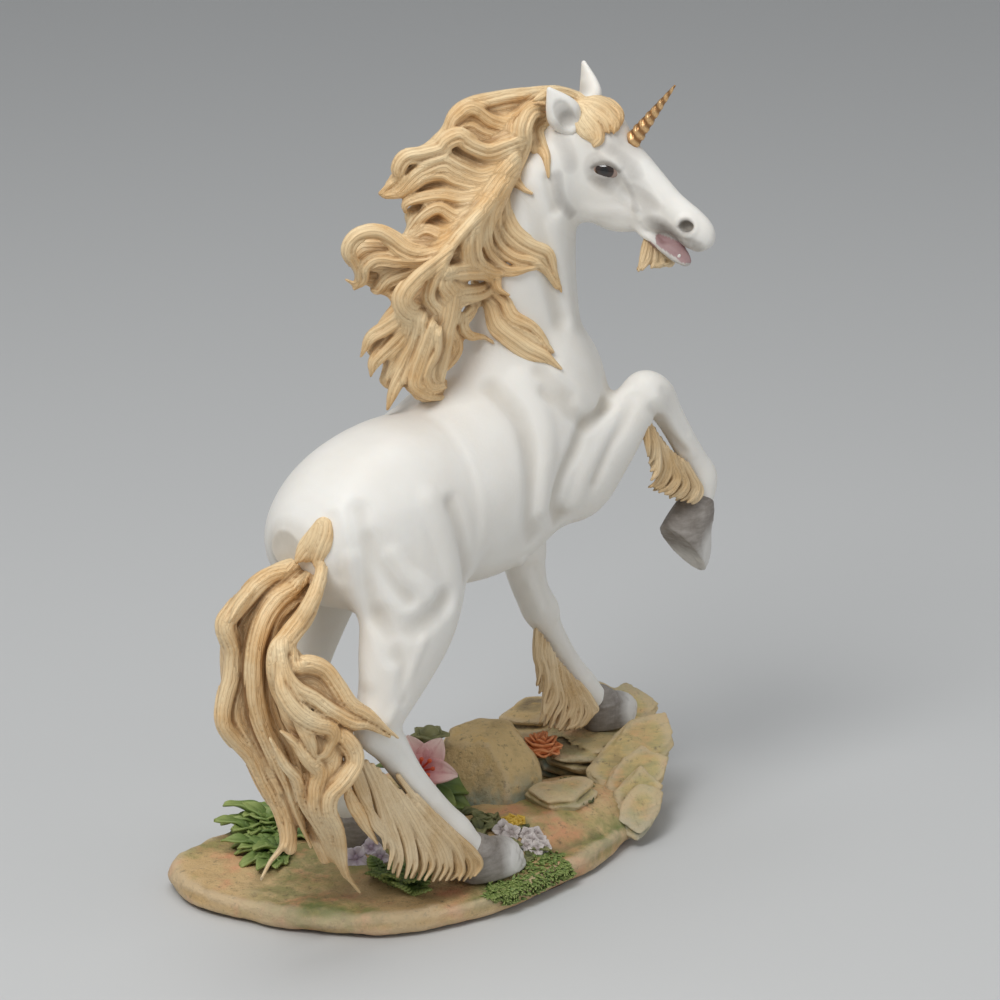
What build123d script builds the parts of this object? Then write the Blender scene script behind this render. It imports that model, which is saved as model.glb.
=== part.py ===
from build123d import *
import math
import os

# Main sizes of the figure, in millimetres. X is the horse's heading, Y its left, Z up.
base_length = 200.0
base_width = 110.0
base_thickness = 10.0
figure_height = 250.0
felt_thickness = 1.0
felt_margin = 4.0
lip_setback = 3.0

# Trunk, neck and head.
barrel_depth = 72.0
barrel_width = 60.0
neck_depth = 60.0
neck_width = 34.0
head_length = 70.0
head_depth = 36.0
head_width = 22.0
head_turn = 70.0
head_droop = 38.7
horn_length = 26.5
horn_diameter = 6.6
horn_tip_diameter = 1.6
horn_ridge = 1.0
horn_turns = 7
horn_sink = 2.0
ear_length = 19.0
ear_width = 9.5
ear_thickness = 5.0
eye_diameter = 6.4
beard_breadth = 9.0
beard_thickness = 5.0

# Limbs: the thickest part of each upper and lower leg, front to back.
forearm_depth = 38.0
forearm_width = 23.0
thigh_depth = 50.0
thigh_width = 27.0
cannon_depth = 13.0
cannon_width = 11.0
feather_breadth = 20.0
feather_thickness = 6.0
hoof_length = 23.0
hoof_width = 16.0
hoof_height = 15.0

# Hair: broad locks of several strands.
lock_breadth = 20.0
lock_thickness = 8.0
tail_breadth = 30.0
tail_thickness = 16.0

# Stones of the base, each with its height above the level ground.
mound_height = 12.0
mound_length = 96.0
mound_width = 52.0
boulder_height = 29.0
boulder_length = 46.0
boulder_width = 40.0
rear_rock_height = 20.0
rear_rock_length = 44.0
rear_rock_width = 30.0
flat_stone_height = 14.5
flat_stone_length = 25.0
flat_stone_width = 20.0
ledge_height = 15.0
ledge_length = 62.0
ledge_width = 52.0
plank_length = 58.0
plank_breadth = 15.0
plank_thickness = 9.0

# Flowers and leaves.
lily_petal_length = 15.0
lily_petal_breadth = 8.0
lily_bud_diameter = 8.0
stamen_length = 9.0
stamen_diameter = 1.3
rose_diameter = 15.0
blossom_diameter = 7.0
small_blossom_diameter = 4.6
petal_thickness = 1.0
leaf_length = 17.0
leaf_breadth = 7.0
leaf_thickness = 1.2


def spot(x_share, y_share, z_share):
    """A point of the figure from its shares of the length, the width and the height above ground."""
    return Vector(x_share * base_length, y_share * base_width, base_thickness + z_share * figure_height)


turn = math.radians(head_turn)
droop = math.radians(head_droop)
poll = spot(0.155, -0.218, 1.038)
head_along = Vector(math.cos(turn) * math.cos(droop), -math.sin(turn) * math.cos(droop), -math.sin(droop))
head_across = Vector(math.sin(turn), math.cos(turn), 0)
head_above = head_along.cross(head_across)


def head_spot(along_share, across_share, above_share):
    """A point of the head from its shares of the head's length, measured from the poll."""
    along = head_along * (along_share * head_length)
    across = head_across * (across_share * head_length)
    above = head_above * (above_share * head_length)
    return poll + along + across + above


def section_plane(origin, forward, side):
    """A plane square to the forward direction, with its own x as near to the side as it can be."""
    forward = forward.normalized()
    across = side - forward * side.dot(forward)
    return Plane(origin=origin, x_dir=across.normalized(), z_dir=forward)


def stations(shares, depth, width, place=spot, side=Vector(0, 1, 0)):
    """Section planes along a path of stations, each with its depth and width."""
    points = [place(*row[:3]) for row in shares]
    found = []
    for index, row in enumerate(shares):
        before = points[max(index - 1, 0)]
        after = points[min(index + 1, len(points) - 1)]
        plane = section_plane(points[index], after - before, side)
        found.append((plane, row[3] * depth, row[4] * width))
    return found


def oval_corners(depth, width, sides):
    """Corners of an oval section with its depth along the plane's own y."""
    angles = [2 * math.pi * k / sides for k in range(sides)]
    return [Vector(width / 2 * math.cos(angle), depth / 2 * math.sin(angle)) for angle in angles]


strand_shares = [
    (0, -0.5), (-0.36, -0.36), (-0.24, -0.2), (-0.5, -0.02), (-0.3, 0.15), (-0.4, 0.34), (0, 0.5), (0.4, 0.2), (0.4, -0.2),
]


def strand_corners(breadth, thickness):
    """Corners of a lock's section: three strands with valleys between them on the near side, a rounded far side."""
    return [Vector(x * thickness, y * breadth) for x, y in strand_shares]


def placed(plane, corners):
    """Corners of a section set on its plane."""
    return [plane.from_local_coords(corner) for corner in corners]


def skin(rings):
    """A closed form with flat facets between rings that have equal numbers of corners."""
    faces = [Face(Wire.make_polygon(rings[0])), Face(Wire.make_polygon(rings[-1]))]
    for lower, upper in zip(rings, rings[1:]):
        for k in range(len(lower)):
            j = (k + 1) % len(lower)
            faces.append(Face(Wire.make_polygon([lower[k], lower[j], upper[j]])))
            faces.append(Face(Wire.make_polygon([lower[k], upper[j], upper[k]])))
    return Solid(Shell(faces))


def ring_points(centre, length, width, level, spread, radius_shares):
    """Corners of an uneven ring round a centre, at a height above the ground."""
    corners = []
    count = len(radius_shares)
    for k, radius in enumerate(radius_shares):
        angle = 2 * math.pi * k / count
        x = centre.X + radius * spread * length / 2 * math.cos(angle)
        y = centre.Y + radius * spread * width / 2 * math.sin(angle)
        corners.append(Vector(x, y, base_thickness + level))
    return corners


# Felt pad and base slab.
rim_shares = [
    (0.505, 0.02), (0.50, 0.20), (0.42, 0.37), (0.27, 0.46), (0.08, 0.50), (-0.12, 0.49),
    (-0.30, 0.45), (-0.42, 0.38), (-0.485, 0.20), (-0.455, -0.13), (-0.35, -0.38), (-0.18, -0.50),
    (0, -0.49), (0.14, -0.44), (0.28, -0.34), (0.42, -0.17),
]


def rim(setback):
    """The base's outline drawn in by a setback."""
    x_size = base_length - 2 * setback
    y_size = base_width - 2 * setback
    return [Vector(x * x_size, y * y_size) for x, y in rim_shares]


with BuildPart() as felt_pad:
    with BuildSketch():
        Polygon(*rim(felt_margin), align=None)
    extrude(amount=felt_thickness)

with BuildPart() as base_slab:
    slab_levels = ((lip_setback, felt_thickness), (0, base_thickness / 2), (lip_setback, base_thickness))
    add(skin([placed(Plane.XY.offset(level), rim(setback)) for setback, level in slab_levels]))

# Ground and stones. Each is a stack of uneven rings, cut where it meets what is under it.
mound_ring_shares = (1.0, 0.96, 0.94, 1.0, 1.02, 0.95, 0.9, 0.97, 1.0, 0.96, 0.93, 0.98, 1.0, 0.97, 0.96, 0.98)
stone_ring_shares = (1.0, 0.9, 1.04, 0.86, 0.98, 1.03, 0.88, 0.96)
slate_ring_shares = (1.0, 0.84, 0.98, 1.06, 0.9, 0.97)


def cut_by(*neighbours):
    """Seat the piece in hand on its neighbours by cutting it where they are."""
    for neighbour in neighbours:
        add(neighbour.part, mode=Mode.SUBTRACT)


def keep_largest():
    """Keep the largest solid of the piece in hand and drop any crumbs left by a cut."""
    add(solids().sort_by(SortBy.VOLUME)[-1], mode=Mode.REPLACE)


def stone(centre, length, width, height, ring_shares, level_shares):
    """An uneven stone that rises from the level ground, with flat facets between its rings."""
    rings = []
    for level_share, spread_share in level_shares:
        rings.append(ring_points(centre, length, width, level_share * height, spread_share, ring_shares))
    return skin(rings)


with BuildPart() as sand_mound:
    mound_levels = ((0, 1.0), (0.6, 0.86), (1.0, 0.6))
    add(stone(spot(0.10, -0.14, 0), mound_length, mound_width, mound_height, mound_ring_shares, mound_levels))

with BuildPart() as boulder:
    boulder_levels = ((0, 1.0), (0.4, 1.0), (0.75, 0.8), (1.0, 0.36))
    add(stone(spot(0.09, 0.10, 0), boulder_length, boulder_width, boulder_height, stone_ring_shares, boulder_levels))
    cut_by(sand_mound)
    keep_largest()

with BuildPart() as rear_rock:
    rear_levels = ((0, 1.0), (0.5, 0.94), (1.0, 0.55))
    add(stone(spot(0.31, 0.24, 0), rear_rock_length, rear_rock_width, rear_rock_height, stone_ring_shares, rear_levels))
    cut_by(sand_mound, boulder)
    keep_largest()

with BuildPart() as ledge_core:
    ledge_levels = ((0, 0.94), (0.6, 1.0), (1.0, 0.92))
    add(stone(spot(0.365, 0.02, 0), ledge_length, ledge_width, ledge_height, slate_ring_shares, ledge_levels))
    cut_by(sand_mound, boulder, rear_rock)
    keep_largest()

with BuildPart() as flat_stone:
    flat_levels = ((0, 1.0), (0.85, 0.96), (1.0, 0.8))
    add(stone(spot(0.145, -0.24, 0), flat_stone_length, flat_stone_width, flat_stone_height, stone_ring_shares, flat_levels))
    cut_by(sand_mound)
    keep_largest()


plank_corner_shares = [(-0.5, -0.35), (-0.1, -0.5), (0.5, -0.4), (0.46, 0.4), (0, 0.5), (-0.46, 0.3)]


def plank(start, end, lean):
    """A split slab of slate from its low end to its high end, thin at both ends."""
    slope = end - start
    side = Vector(0, math.cos(math.radians(lean)), math.sin(math.radians(lean)))
    rings = []
    for along_share, breadth_share, thickness_share in ((0, 0.7, 0.6), (0.3, 1.0, 1.0), (0.8, 0.95, 1.0), (1.0, 0.7, 0.7)):
        breadth = breadth_share * plank_breadth
        thickness = thickness_share * plank_thickness
        corners = [Vector(x * breadth, y * thickness) for x, y in plank_corner_shares]
        rings.append(placed(section_plane(start + slope * along_share, slope, side), corners))
    return skin(rings)


with BuildPart() as ledge_slab_upper:
    add(plank(spot(0.36, 0.16, 0.048), spot(0.52, 0.08, 0.085), 20))
    cut_by(base_slab, sand_mound, rear_rock, ledge_core)
    keep_largest()

with BuildPart() as ledge_slab_front:
    add(plank(spot(0.24, -0.13, 0.012), spot(0.465, -0.11, 0.072), 35))
    cut_by(base_slab, sand_mound, boulder, flat_stone, ledge_core, ledge_slab_upper)
    keep_largest()

with BuildPart() as ledge_slab_middle:
    add(plank(spot(0.22, -0.25, 0.008), spot(0.40, -0.20, 0.044), 30))
    cut_by(base_slab, sand_mound, flat_stone, ledge_core, ledge_slab_front)
    keep_largest()

with BuildPart() as ledge_slab_lower:
    add(plank(spot(0.20, -0.33, 0.004), spot(0.345, -0.28, 0.02), 25))
    cut_by(base_slab, sand_mound, flat_stone, ledge_core, ledge_slab_front, ledge_slab_middle)
    keep_largest()


def tube_form(shares, depth, width, sides=12, place=spot, side=Vector(0, 1, 0)):
    """A limb or trunk form skinned over oval sections along its stations."""
    rings = []
    for plane, section_depth, section_width in stations(shares, depth, width, place, side):
        rings.append(placed(plane, oval_corners(section_depth, section_width, sides)))
    return skin(rings)


def lock_form(shares, breadth, thickness, place=spot, side=Vector(0, 1, 0)):
    """A lock of hair skinned over sections of three strands along its stations."""
    rings = []
    for plane, section_breadth, section_thickness in stations(shares, breadth, thickness, place, side):
        rings.append(placed(plane, strand_corners(section_breadth, section_thickness)))
    return skin(rings)


# Trunk and neck. Rows are x, y and z shares of the figure, then depth and width shares of the form.
torso_shares = [
    (-0.42, -0.145, 0.488, 0.17, 0.27), (-0.40, -0.145, 0.512, 0.53, 0.67), (-0.34, -0.145, 0.536, 0.74, 0.90),
    (-0.25, -0.145, 0.536, 0.81, 0.95), (-0.14, -0.145, 0.536, 0.875, 0.985), (-0.04, -0.145, 0.548, 0.96, 1.0),
    (0.06, -0.145, 0.568, 1.04, 0.92), (0.15, -0.145, 0.588, 0.97, 0.82), (0.22, -0.145, 0.592, 0.66, 0.60),
    (0.26, -0.145, 0.588, 0.25, 0.27),
]
neck_shares = [
    (0.075, -0.145, 0.632, 1.0, 1.0), (0.07, -0.15, 0.704, 0.82, 0.88), (0.075, -0.164, 0.792, 0.70, 0.74),
    (0.09, -0.195, 0.88, 0.58, 0.62), (0.115, -0.227, 0.944, 0.50, 0.59), (0.15, -0.245, 0.984, 0.37, 0.53),
]

with BuildPart() as torso:
    add(tube_form(torso_shares, barrel_depth, barrel_width, 20))

with BuildPart() as neck:
    add(tube_form(neck_shares, neck_depth, neck_width, 16))
    cut_by(torso)
    keep_largest()

# Head. Its rows are shares of the head's length along, across and above, then depth and width shares.
head_shares = [
    (-0.04, 0, -0.07, 0.28, 0.36), (0.043, 0, -0.10, 0.61, 0.73), (0.17, 0, -0.15, 0.83, 0.91),
    (0.30, 0, -0.165, 0.92, 0.98), (0.414, 0, -0.165, 0.86, 0.91), (0.53, 0, -0.146, 0.72, 0.77),
    (0.63, 0, -0.117, 0.51, 0.66), (0.73, 0, -0.075, 0.36, 0.57), (0.83, 0, -0.057, 0.35, 0.57),
    (0.907, 0, -0.043, 0.31, 0.50), (0.957, 0, -0.05, 0.18, 0.32),
]
jaw_shares = [
    (0.60, 0, -0.17, 0.20, 0.41), (0.714, 0, -0.186, 0.17, 0.41), (0.814, 0, -0.209, 0.14, 0.39),
    (0.90, 0, -0.206, 0.115, 0.34), (0.95, 0, -0.194, 0.055, 0.18),
]
ear_right_shares = [
    (0.11, -0.10, -0.10, 0.75, 1.0), (0.05, -0.115, -0.075, 1.0, 0.9), (-0.02, -0.12, -0.04, 0.8, 0.6),
    (-0.093, -0.115, 0.01, 0.15, 0.2),
]
ear_left_shares = [
    (0.09, 0.09, -0.03, 0.75, 1.0), (0.04, 0.10, 0.02, 1.0, 0.9), (-0.03, 0.11, 0.065, 0.8, 0.6),
    (-0.09, 0.11, 0.115, 0.15, 0.2),
]
beard_shares = [
    (0.70, 0, -0.18, 0.5, 0.8), (0.74, 0, -0.25, 1.0, 1.0), (0.765, 0, -0.32, 0.8, 0.8), (0.79, 0, -0.385, 0.15, 0.2),
]

with BuildPart() as eyes:
    for outward in (head_across * -1, head_across):
        eye_centre = head_spot(0.364, 0, -0.07) + outward * (0.10 * head_length)
        rings = []
        for level_share, size_share in ((-0.3, 0.8), (0, 1.0), (0.3, 0.8), (0.5, 0.3)):
            eye_plane = section_plane(eye_centre + outward * (level_share * eye_diameter), outward, head_along)
            rings.append(placed(eye_plane, oval_corners(size_share * eye_diameter, size_share * eye_diameter, 8)))
        add(skin(rings))

with BuildPart() as head:
    add(tube_form(head_shares, head_depth, head_width, 16, head_spot, head_across))
    cut_by(neck, eyes)
    keep_largest()

with BuildPart() as lower_jaw:
    add(tube_form(jaw_shares, head_depth, head_width, 10, head_spot, head_across))
    cut_by(head)
    keep_largest()

with BuildPart() as ear_right:
    add(tube_form(ear_right_shares, ear_width, ear_thickness, 8, head_spot, head_across))
    cut_by(head, neck)
    keep_largest()

with BuildPart() as ear_left:
    add(tube_form(ear_left_shares, ear_width, ear_thickness, 8, head_spot, head_across))
    cut_by(head, neck)
    keep_largest()

with BuildPart() as beard:
    add(lock_form(beard_shares, beard_breadth, beard_thickness, head_spot, head_across))
    cut_by(head, lower_jaw)
    keep_largest()

# Horn: a slender cone with one raised ridge wound round it.
horn_axis = (head_above - head_along * 0.04).normalized()
horn_seat = head_spot(0.35, 0, 0.05) - horn_axis * horn_sink
horn_plane = Plane(origin=horn_seat, x_dir=head_across, z_dir=horn_axis)

with BuildPart() as horn:
    ridge_steps = 6
    rings = []
    for step in range(horn_turns * ridge_steps + 1):
        along_share = step / (horn_turns * ridge_steps)
        diameter = horn_diameter + (horn_tip_diameter - horn_diameter) * along_share
        corners = []
        for corner in range(ridge_steps):
            angle = 2 * math.pi * corner / ridge_steps
            ridge = horn_ridge * diameter / horn_diameter if corner == step % ridge_steps else 0
            corners.append(Vector((diameter / 2 + ridge) * math.cos(angle), (diameter / 2 + ridge) * math.sin(angle)))
        rings.append(placed(horn_plane.offset(along_share * (horn_sink + horn_length)), corners))
    add(skin(rings))
    cut_by(head)
    keep_largest()

# Limbs. The upper part of each leg is cut by the trunk, and each lower part by the one above it.
right_forearm_shares = [
    (0.10, -0.264, 0.56, 1.0, 0.96), (0.12, -0.30, 0.52, 0.82, 0.96), (0.17, -0.323, 0.548, 0.66, 0.78),
    (0.23, -0.341, 0.592, 0.46, 0.64), (0.27, -0.345, 0.62, 0.40, 0.61), (0.285, -0.345, 0.63, 0.26, 0.43),
]
right_fore_cannon_shares = [
    (0.275, -0.345, 0.626, 0.85, 1.0), (0.295, -0.345, 0.61, 1.08, 1.16), (0.325, -0.345, 0.58, 0.86, 0.95),
    (0.36, -0.345, 0.54, 0.77, 0.84), (0.395, -0.345, 0.498, 0.80, 0.87), (0.415, -0.345, 0.47, 0.95, 1.02),
    (0.415, -0.345, 0.444, 0.77, 0.91), (0.405, -0.345, 0.428, 0.80, 0.98),
]
left_forearm_shares = [
    (0.11, -0.027, 0.472, 0.74, 0.87), (0.148, -0.01, 0.392, 0.50, 0.70), (0.172, 0, 0.328, 0.37, 0.57),
    (0.19, 0, 0.296, 0.35, 0.54),
]
left_fore_cannon_shares = [
    (0.187, 0, 0.30, 0.92, 1.05), (0.205, 0, 0.276, 1.06, 1.16), (0.232, 0.005, 0.24, 0.77, 0.84),
    (0.285, 0.014, 0.178, 0.71, 0.80), (0.325, 0.018, 0.134, 0.89, 0.95), (0.35, 0.018, 0.112, 0.77, 0.90),
    (0.37, 0.018, 0.096, 0.80, 0.98),
]
right_thigh_shares = [
    (-0.31, -0.273, 0.56, 0.96, 0.96), (-0.275, -0.318, 0.48, 0.88, 0.96), (-0.28, -0.35, 0.412, 0.66, 0.81),
    (-0.325, -0.368, 0.352, 0.46, 0.67), (-0.365, -0.377, 0.304, 0.34, 0.52), (-0.385, -0.382, 0.282, 0.24, 0.41),
]
right_hind_cannon_shares = [
    (-0.38, -0.382, 0.304, 0.77, 0.91), (-0.3925, -0.382, 0.276, 1.23, 1.13), (-0.365, -0.382, 0.238, 1.02, 0.98),
    (-0.315, -0.382, 0.18, 0.80, 0.87), (-0.25, -0.382, 0.116, 0.80, 0.87), (-0.215, -0.382, 0.082, 0.97, 1.02),
    (-0.185, -0.382, 0.056, 0.80, 0.96), (-0.165, -0.382, 0.042, 0.82, 1.0),
]
left_thigh_shares = [
    (-0.30, -0.018, 0.552, 0.92, 0.96), (-0.27, 0.027, 0.46, 0.76, 0.89), (-0.27, 0.055, 0.388, 0.52, 0.70),
    (-0.295, 0.073, 0.32, 0.36, 0.56), (-0.318, 0.073, 0.272, 0.26, 0.43),
]
left_hind_cannon_shares = [
    (-0.315, 0.073, 0.284, 0.77, 0.91), (-0.325, 0.073, 0.258, 1.20, 1.13), (-0.308, 0.073, 0.22, 0.98, 0.98),
    (-0.27, 0.077, 0.16, 0.80, 0.87), (-0.24, 0.082, 0.104, 0.80, 0.87), (-0.2225, 0.082, 0.072, 0.97, 1.02),
    (-0.2075, 0.082, 0.046, 0.82, 0.98),
]

with BuildPart() as right_forearm:
    add(tube_form(right_forearm_shares, forearm_depth, forearm_width, 10))
    cut_by(torso)
    keep_largest()

with BuildPart() as right_fore_cannon:
    add(tube_form(right_fore_cannon_shares, cannon_depth, cannon_width))
    cut_by(right_forearm)
    keep_largest()

with BuildPart() as left_forearm:
    add(tube_form(left_forearm_shares, forearm_depth, forearm_width))
    cut_by(torso)
    keep_largest()

with BuildPart() as left_fore_cannon:
    add(tube_form(left_fore_cannon_shares, cannon_depth, cannon_width))
    cut_by(left_forearm)
    keep_largest()

with BuildPart() as right_thigh:
    add(tube_form(right_thigh_shares, thigh_depth, thigh_width))
    cut_by(torso)
    keep_largest()

with BuildPart() as right_hind_cannon:
    add(tube_form(right_hind_cannon_shares, cannon_depth, cannon_width))
    cut_by(right_thigh)
    keep_largest()

with BuildPart() as left_thigh:
    add(tube_form(left_thigh_shares, thigh_depth, thigh_width))
    cut_by(torso)
    keep_largest()

with BuildPart() as left_hind_cannon:
    add(tube_form(left_hind_cannon_shares, cannon_depth, cannon_width))
    cut_by(left_thigh)
    keep_largest()


def hoof_form(sole, heading, up, slant):
    """A hoof from its sole up to the coronet, which lies back from the toe by the slant."""
    upward = up.normalized()
    forward = (heading - upward * heading.dot(upward)).normalized()
    sole_plane = Plane(origin=sole, x_dir=forward, z_dir=upward)
    rings = []
    for level_share, size_share in ((0, 1.0), (0.12, 0.99), (0.7, 0.76), (1.0, 0.66)):
        plane = sole_plane.offset(level_share * hoof_height)
        plane.origin = plane.origin - forward * (level_share * slant)
        rings.append(placed(plane, oval_corners(size_share * hoof_width, size_share * hoof_length, 12)))
    return skin(rings)


hoof_slant = 0.34 * hoof_height
raised_sole = spot(0.362, -0.345, 0.382)

with BuildPart() as right_fore_hoof:
    add(hoof_form(raised_sole, Vector(0.66, 0, -0.75), Vector(0.75, 0, 0.66), hoof_slant))
    cut_by(right_fore_cannon)
    keep_largest()

with BuildPart() as left_fore_hoof:
    left_fore_ground = spot(0.39, 0.018, 0)
    left_fore_sole = Vector(left_fore_ground.X, left_fore_ground.Y, base_thickness + ledge_height)
    add(hoof_form(left_fore_sole, Vector(1, 0, 0), Vector(0, 0, 1), hoof_slant))
    cut_by(left_fore_cannon, ledge_slab_upper, ledge_slab_front)
    keep_largest()

with BuildPart() as right_hind_hoof:
    add(hoof_form(spot(-0.13, -0.38, 0), Vector(1, 0, 0), Vector(0, 0, 1), hoof_slant))
    cut_by(right_hind_cannon, sand_mound)
    keep_largest()

with BuildPart() as left_hind_hoof:
    add(hoof_form(spot(-0.175, 0.082, 0), Vector(1, 0, 0), Vector(0, 0, 1), hoof_slant))
    cut_by(left_hind_cannon, sand_mound)
    keep_largest()

# Feathers: tufts of hair behind each cannon, skinned like the locks of the mane.
right_fore_feather_shares = [
    (0.304, -0.345, 0.568, 0.25, 0.6), (0.315, -0.345, 0.53, 0.60, 0.9), (0.335, -0.345, 0.49, 0.80, 1.0),
    (0.36, -0.345, 0.464, 0.65, 0.9), (0.375, -0.345, 0.445, 0.30, 0.5),
]
left_fore_feather_shares = [
    (0.215, 0, 0.232, 0.20, 0.6), (0.2325, 0.005, 0.184, 0.65, 0.9), (0.26, 0.009, 0.134, 0.85, 1.0),
    (0.295, 0.013, 0.102, 0.75, 0.9), (0.33, 0.016, 0.09, 0.40, 0.7),
]
right_hind_feather_shares = [
    (-0.43, -0.382, 0.27, 0.30, 0.6), (-0.42, -0.382, 0.25, 0.60, 0.9), (-0.38, -0.382, 0.188, 0.85, 1.0),
    (-0.325, -0.382, 0.124, 0.95, 1.0), (-0.275, -0.382, 0.072, 0.80, 0.9), (-0.225, -0.382, 0.04, 0.35, 0.7),
]

with BuildPart() as right_fore_feather:
    add(lock_form(right_fore_feather_shares, feather_breadth, feather_thickness))
    cut_by(right_forearm, right_fore_cannon, right_fore_hoof)
    keep_largest()

with BuildPart() as left_fore_feather:
    add(lock_form(left_fore_feather_shares, feather_breadth, feather_thickness))
    cut_by(left_fore_cannon, left_fore_hoof, ledge_core, sand_mound)
    keep_largest()

with BuildPart() as right_hind_feather:
    add(lock_form(right_hind_feather_shares, feather_breadth, feather_thickness))
    cut_by(right_thigh, right_hind_cannon, right_hind_hoof, base_slab)
    keep_largest()

# Mane. A thick root runs down the crest of the neck and every free lock grows from it.
mane_root_shares = [
    (0.11, -0.19, 1.024, 0.6, 1.4), (0.04, -0.175, 0.984, 1.1, 2.0), (0, -0.164, 0.92, 1.3, 2.2),
    (-0.025, -0.155, 0.848, 1.3, 2.2), (-0.05, -0.15, 0.776, 1.2, 2.0), (-0.085, -0.145, 0.72, 0.7, 1.4),
]
mane_crest_shares = [
    (0.098, -0.182, 1.036, 0.35, 0.7), (0.024, -0.155, 1.026, 0.75, 1.0), (-0.038, -0.127, 1.008, 0.9, 1.0),
    (-0.09, -0.10, 0.972, 0.85, 0.95), (-0.144, -0.073, 0.956, 0.6, 0.8), (-0.198, -0.05, 0.95, 0.12, 0.3),
]
mane_upper_shares = [
    (0.015, -0.182, 0.952, 0.6, 0.9), (-0.038, -0.127, 0.906, 0.95, 1.1), (-0.10, -0.09, 0.878, 1.05, 1.1),
    (-0.168, -0.064, 0.864, 0.95, 1.0), (-0.226, -0.045, 0.874, 0.7, 0.9), (-0.262, -0.036, 0.858, 0.45, 0.7),
    (-0.268, -0.036, 0.826, 0.12, 0.3),
]
mane_middle_shares = [
    (-0.03, -0.20, 0.89, 0.5, 0.8), (-0.09, -0.145, 0.838, 0.95, 1.1), (-0.134, -0.11, 0.812, 1.05, 1.1),
    (-0.168, -0.082, 0.79, 1.0, 1.0), (-0.204, -0.064, 0.766, 0.9, 0.9), (-0.23, -0.055, 0.736, 0.6, 0.8),
    (-0.222, -0.055, 0.70, 0.15, 0.3),
]
mane_lower_shares = [
    (-0.07, -0.218, 0.846, 0.5, 0.8), (-0.11, -0.164, 0.796, 0.85, 1.0), (-0.128, -0.127, 0.752, 0.95, 1.0),
    (-0.142, -0.10, 0.712, 0.85, 0.9), (-0.168, -0.082, 0.678, 0.6, 0.7), (-0.198, -0.073, 0.652, 0.12, 0.3),
]
mane_withers_shares = [
    (-0.07, -0.236, 0.796, 0.5, 0.8), (-0.105, -0.218, 0.758, 0.8, 1.0), (-0.11, -0.19, 0.716, 0.85, 1.0),
    (-0.125, -0.164, 0.69, 0.6, 0.8), (-0.165, -0.145, 0.672, 0.15, 0.3),
]
mane_long_near_shares = [
    (-0.08, -0.245, 0.875, 0.4, 0.8), (-0.12, -0.273, 0.83, 0.55, 0.9), (-0.105, -0.29, 0.80, 0.65, 0.9),
    (-0.036, -0.31, 0.77, 0.65, 0.85), (0.022, -0.30, 0.733, 0.55, 0.75), (0.082, -0.30, 0.68, 0.12, 0.3),
]
mane_near_upper_shares = [
    (0.03, -0.245, 1.024, 0.3, 0.7), (-0.008, -0.28, 1.008, 0.5, 0.8), (-0.014, -0.29, 0.986, 0.5, 0.8),
    (-0.002, -0.29, 0.96, 0.42, 0.7), (0.016, -0.28, 0.934, 0.1, 0.3),
]
mane_near_lower_shares = [
    (-0.033, -0.27, 0.98, 0.35, 0.7), (-0.05, -0.28, 0.94, 0.6, 0.85), (-0.04, -0.29, 0.896, 0.65, 0.85),
    (0, -0.30, 0.864, 0.6, 0.8), (0.04, -0.30, 0.836, 0.45, 0.7), (0.074, -0.30, 0.792, 0.1, 0.3),
]
forelock_shares = [
    (-0.06, 0, 0.02, 0.5, 0.8), (0.06, -0.015, 0.075, 0.8, 1.1), (0.16, -0.03, 0.09, 0.85, 1.1),
    (0.25, -0.045, 0.065, 0.6, 0.8), (0.32, -0.07, 0.03, 0.15, 0.3),
]

with BuildPart() as mane_root:
    add(lock_form(mane_root_shares, lock_breadth, lock_thickness))
    cut_by(torso, neck, head, ear_right, ear_left)
    keep_largest()

with BuildPart() as mane_crest:
    add(lock_form(mane_crest_shares, lock_breadth, lock_thickness))
    cut_by(neck, head, ear_right, ear_left, mane_root)
    keep_largest()

with BuildPart() as mane_upper:
    add(lock_form(mane_upper_shares, lock_breadth, lock_thickness))
    cut_by(neck, mane_root, mane_crest)
    keep_largest()

with BuildPart() as mane_middle:
    add(lock_form(mane_middle_shares, lock_breadth, lock_thickness))
    cut_by(neck, mane_root, mane_upper)
    keep_largest()

with BuildPart() as mane_lower:
    add(lock_form(mane_lower_shares, lock_breadth, lock_thickness))
    cut_by(torso, neck, mane_root, mane_middle)
    keep_largest()

with BuildPart() as mane_withers:
    add(lock_form(mane_withers_shares, lock_breadth, lock_thickness))
    cut_by(torso, neck, mane_root, mane_middle, mane_lower)
    keep_largest()

with BuildPart() as mane_long_near:
    add(lock_form(mane_long_near_shares, lock_breadth, lock_thickness))
    cut_by(torso, neck, mane_root, mane_middle, mane_lower, mane_withers)
    keep_largest()

with BuildPart() as mane_near:
    add(lock_form(mane_near_upper_shares, lock_breadth, lock_thickness))
    add(lock_form(mane_near_lower_shares, lock_breadth, lock_thickness))
    cut_by(neck, head, ear_right, mane_root, mane_crest, mane_upper, mane_middle)
    keep_largest()

with BuildPart() as forelock:
    add(lock_form(forelock_shares, lock_breadth, lock_thickness, head_spot, head_above * -1))
    cut_by(neck, head, ear_right, ear_left, horn, mane_root, mane_crest, mane_near)
    keep_largest()

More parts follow.
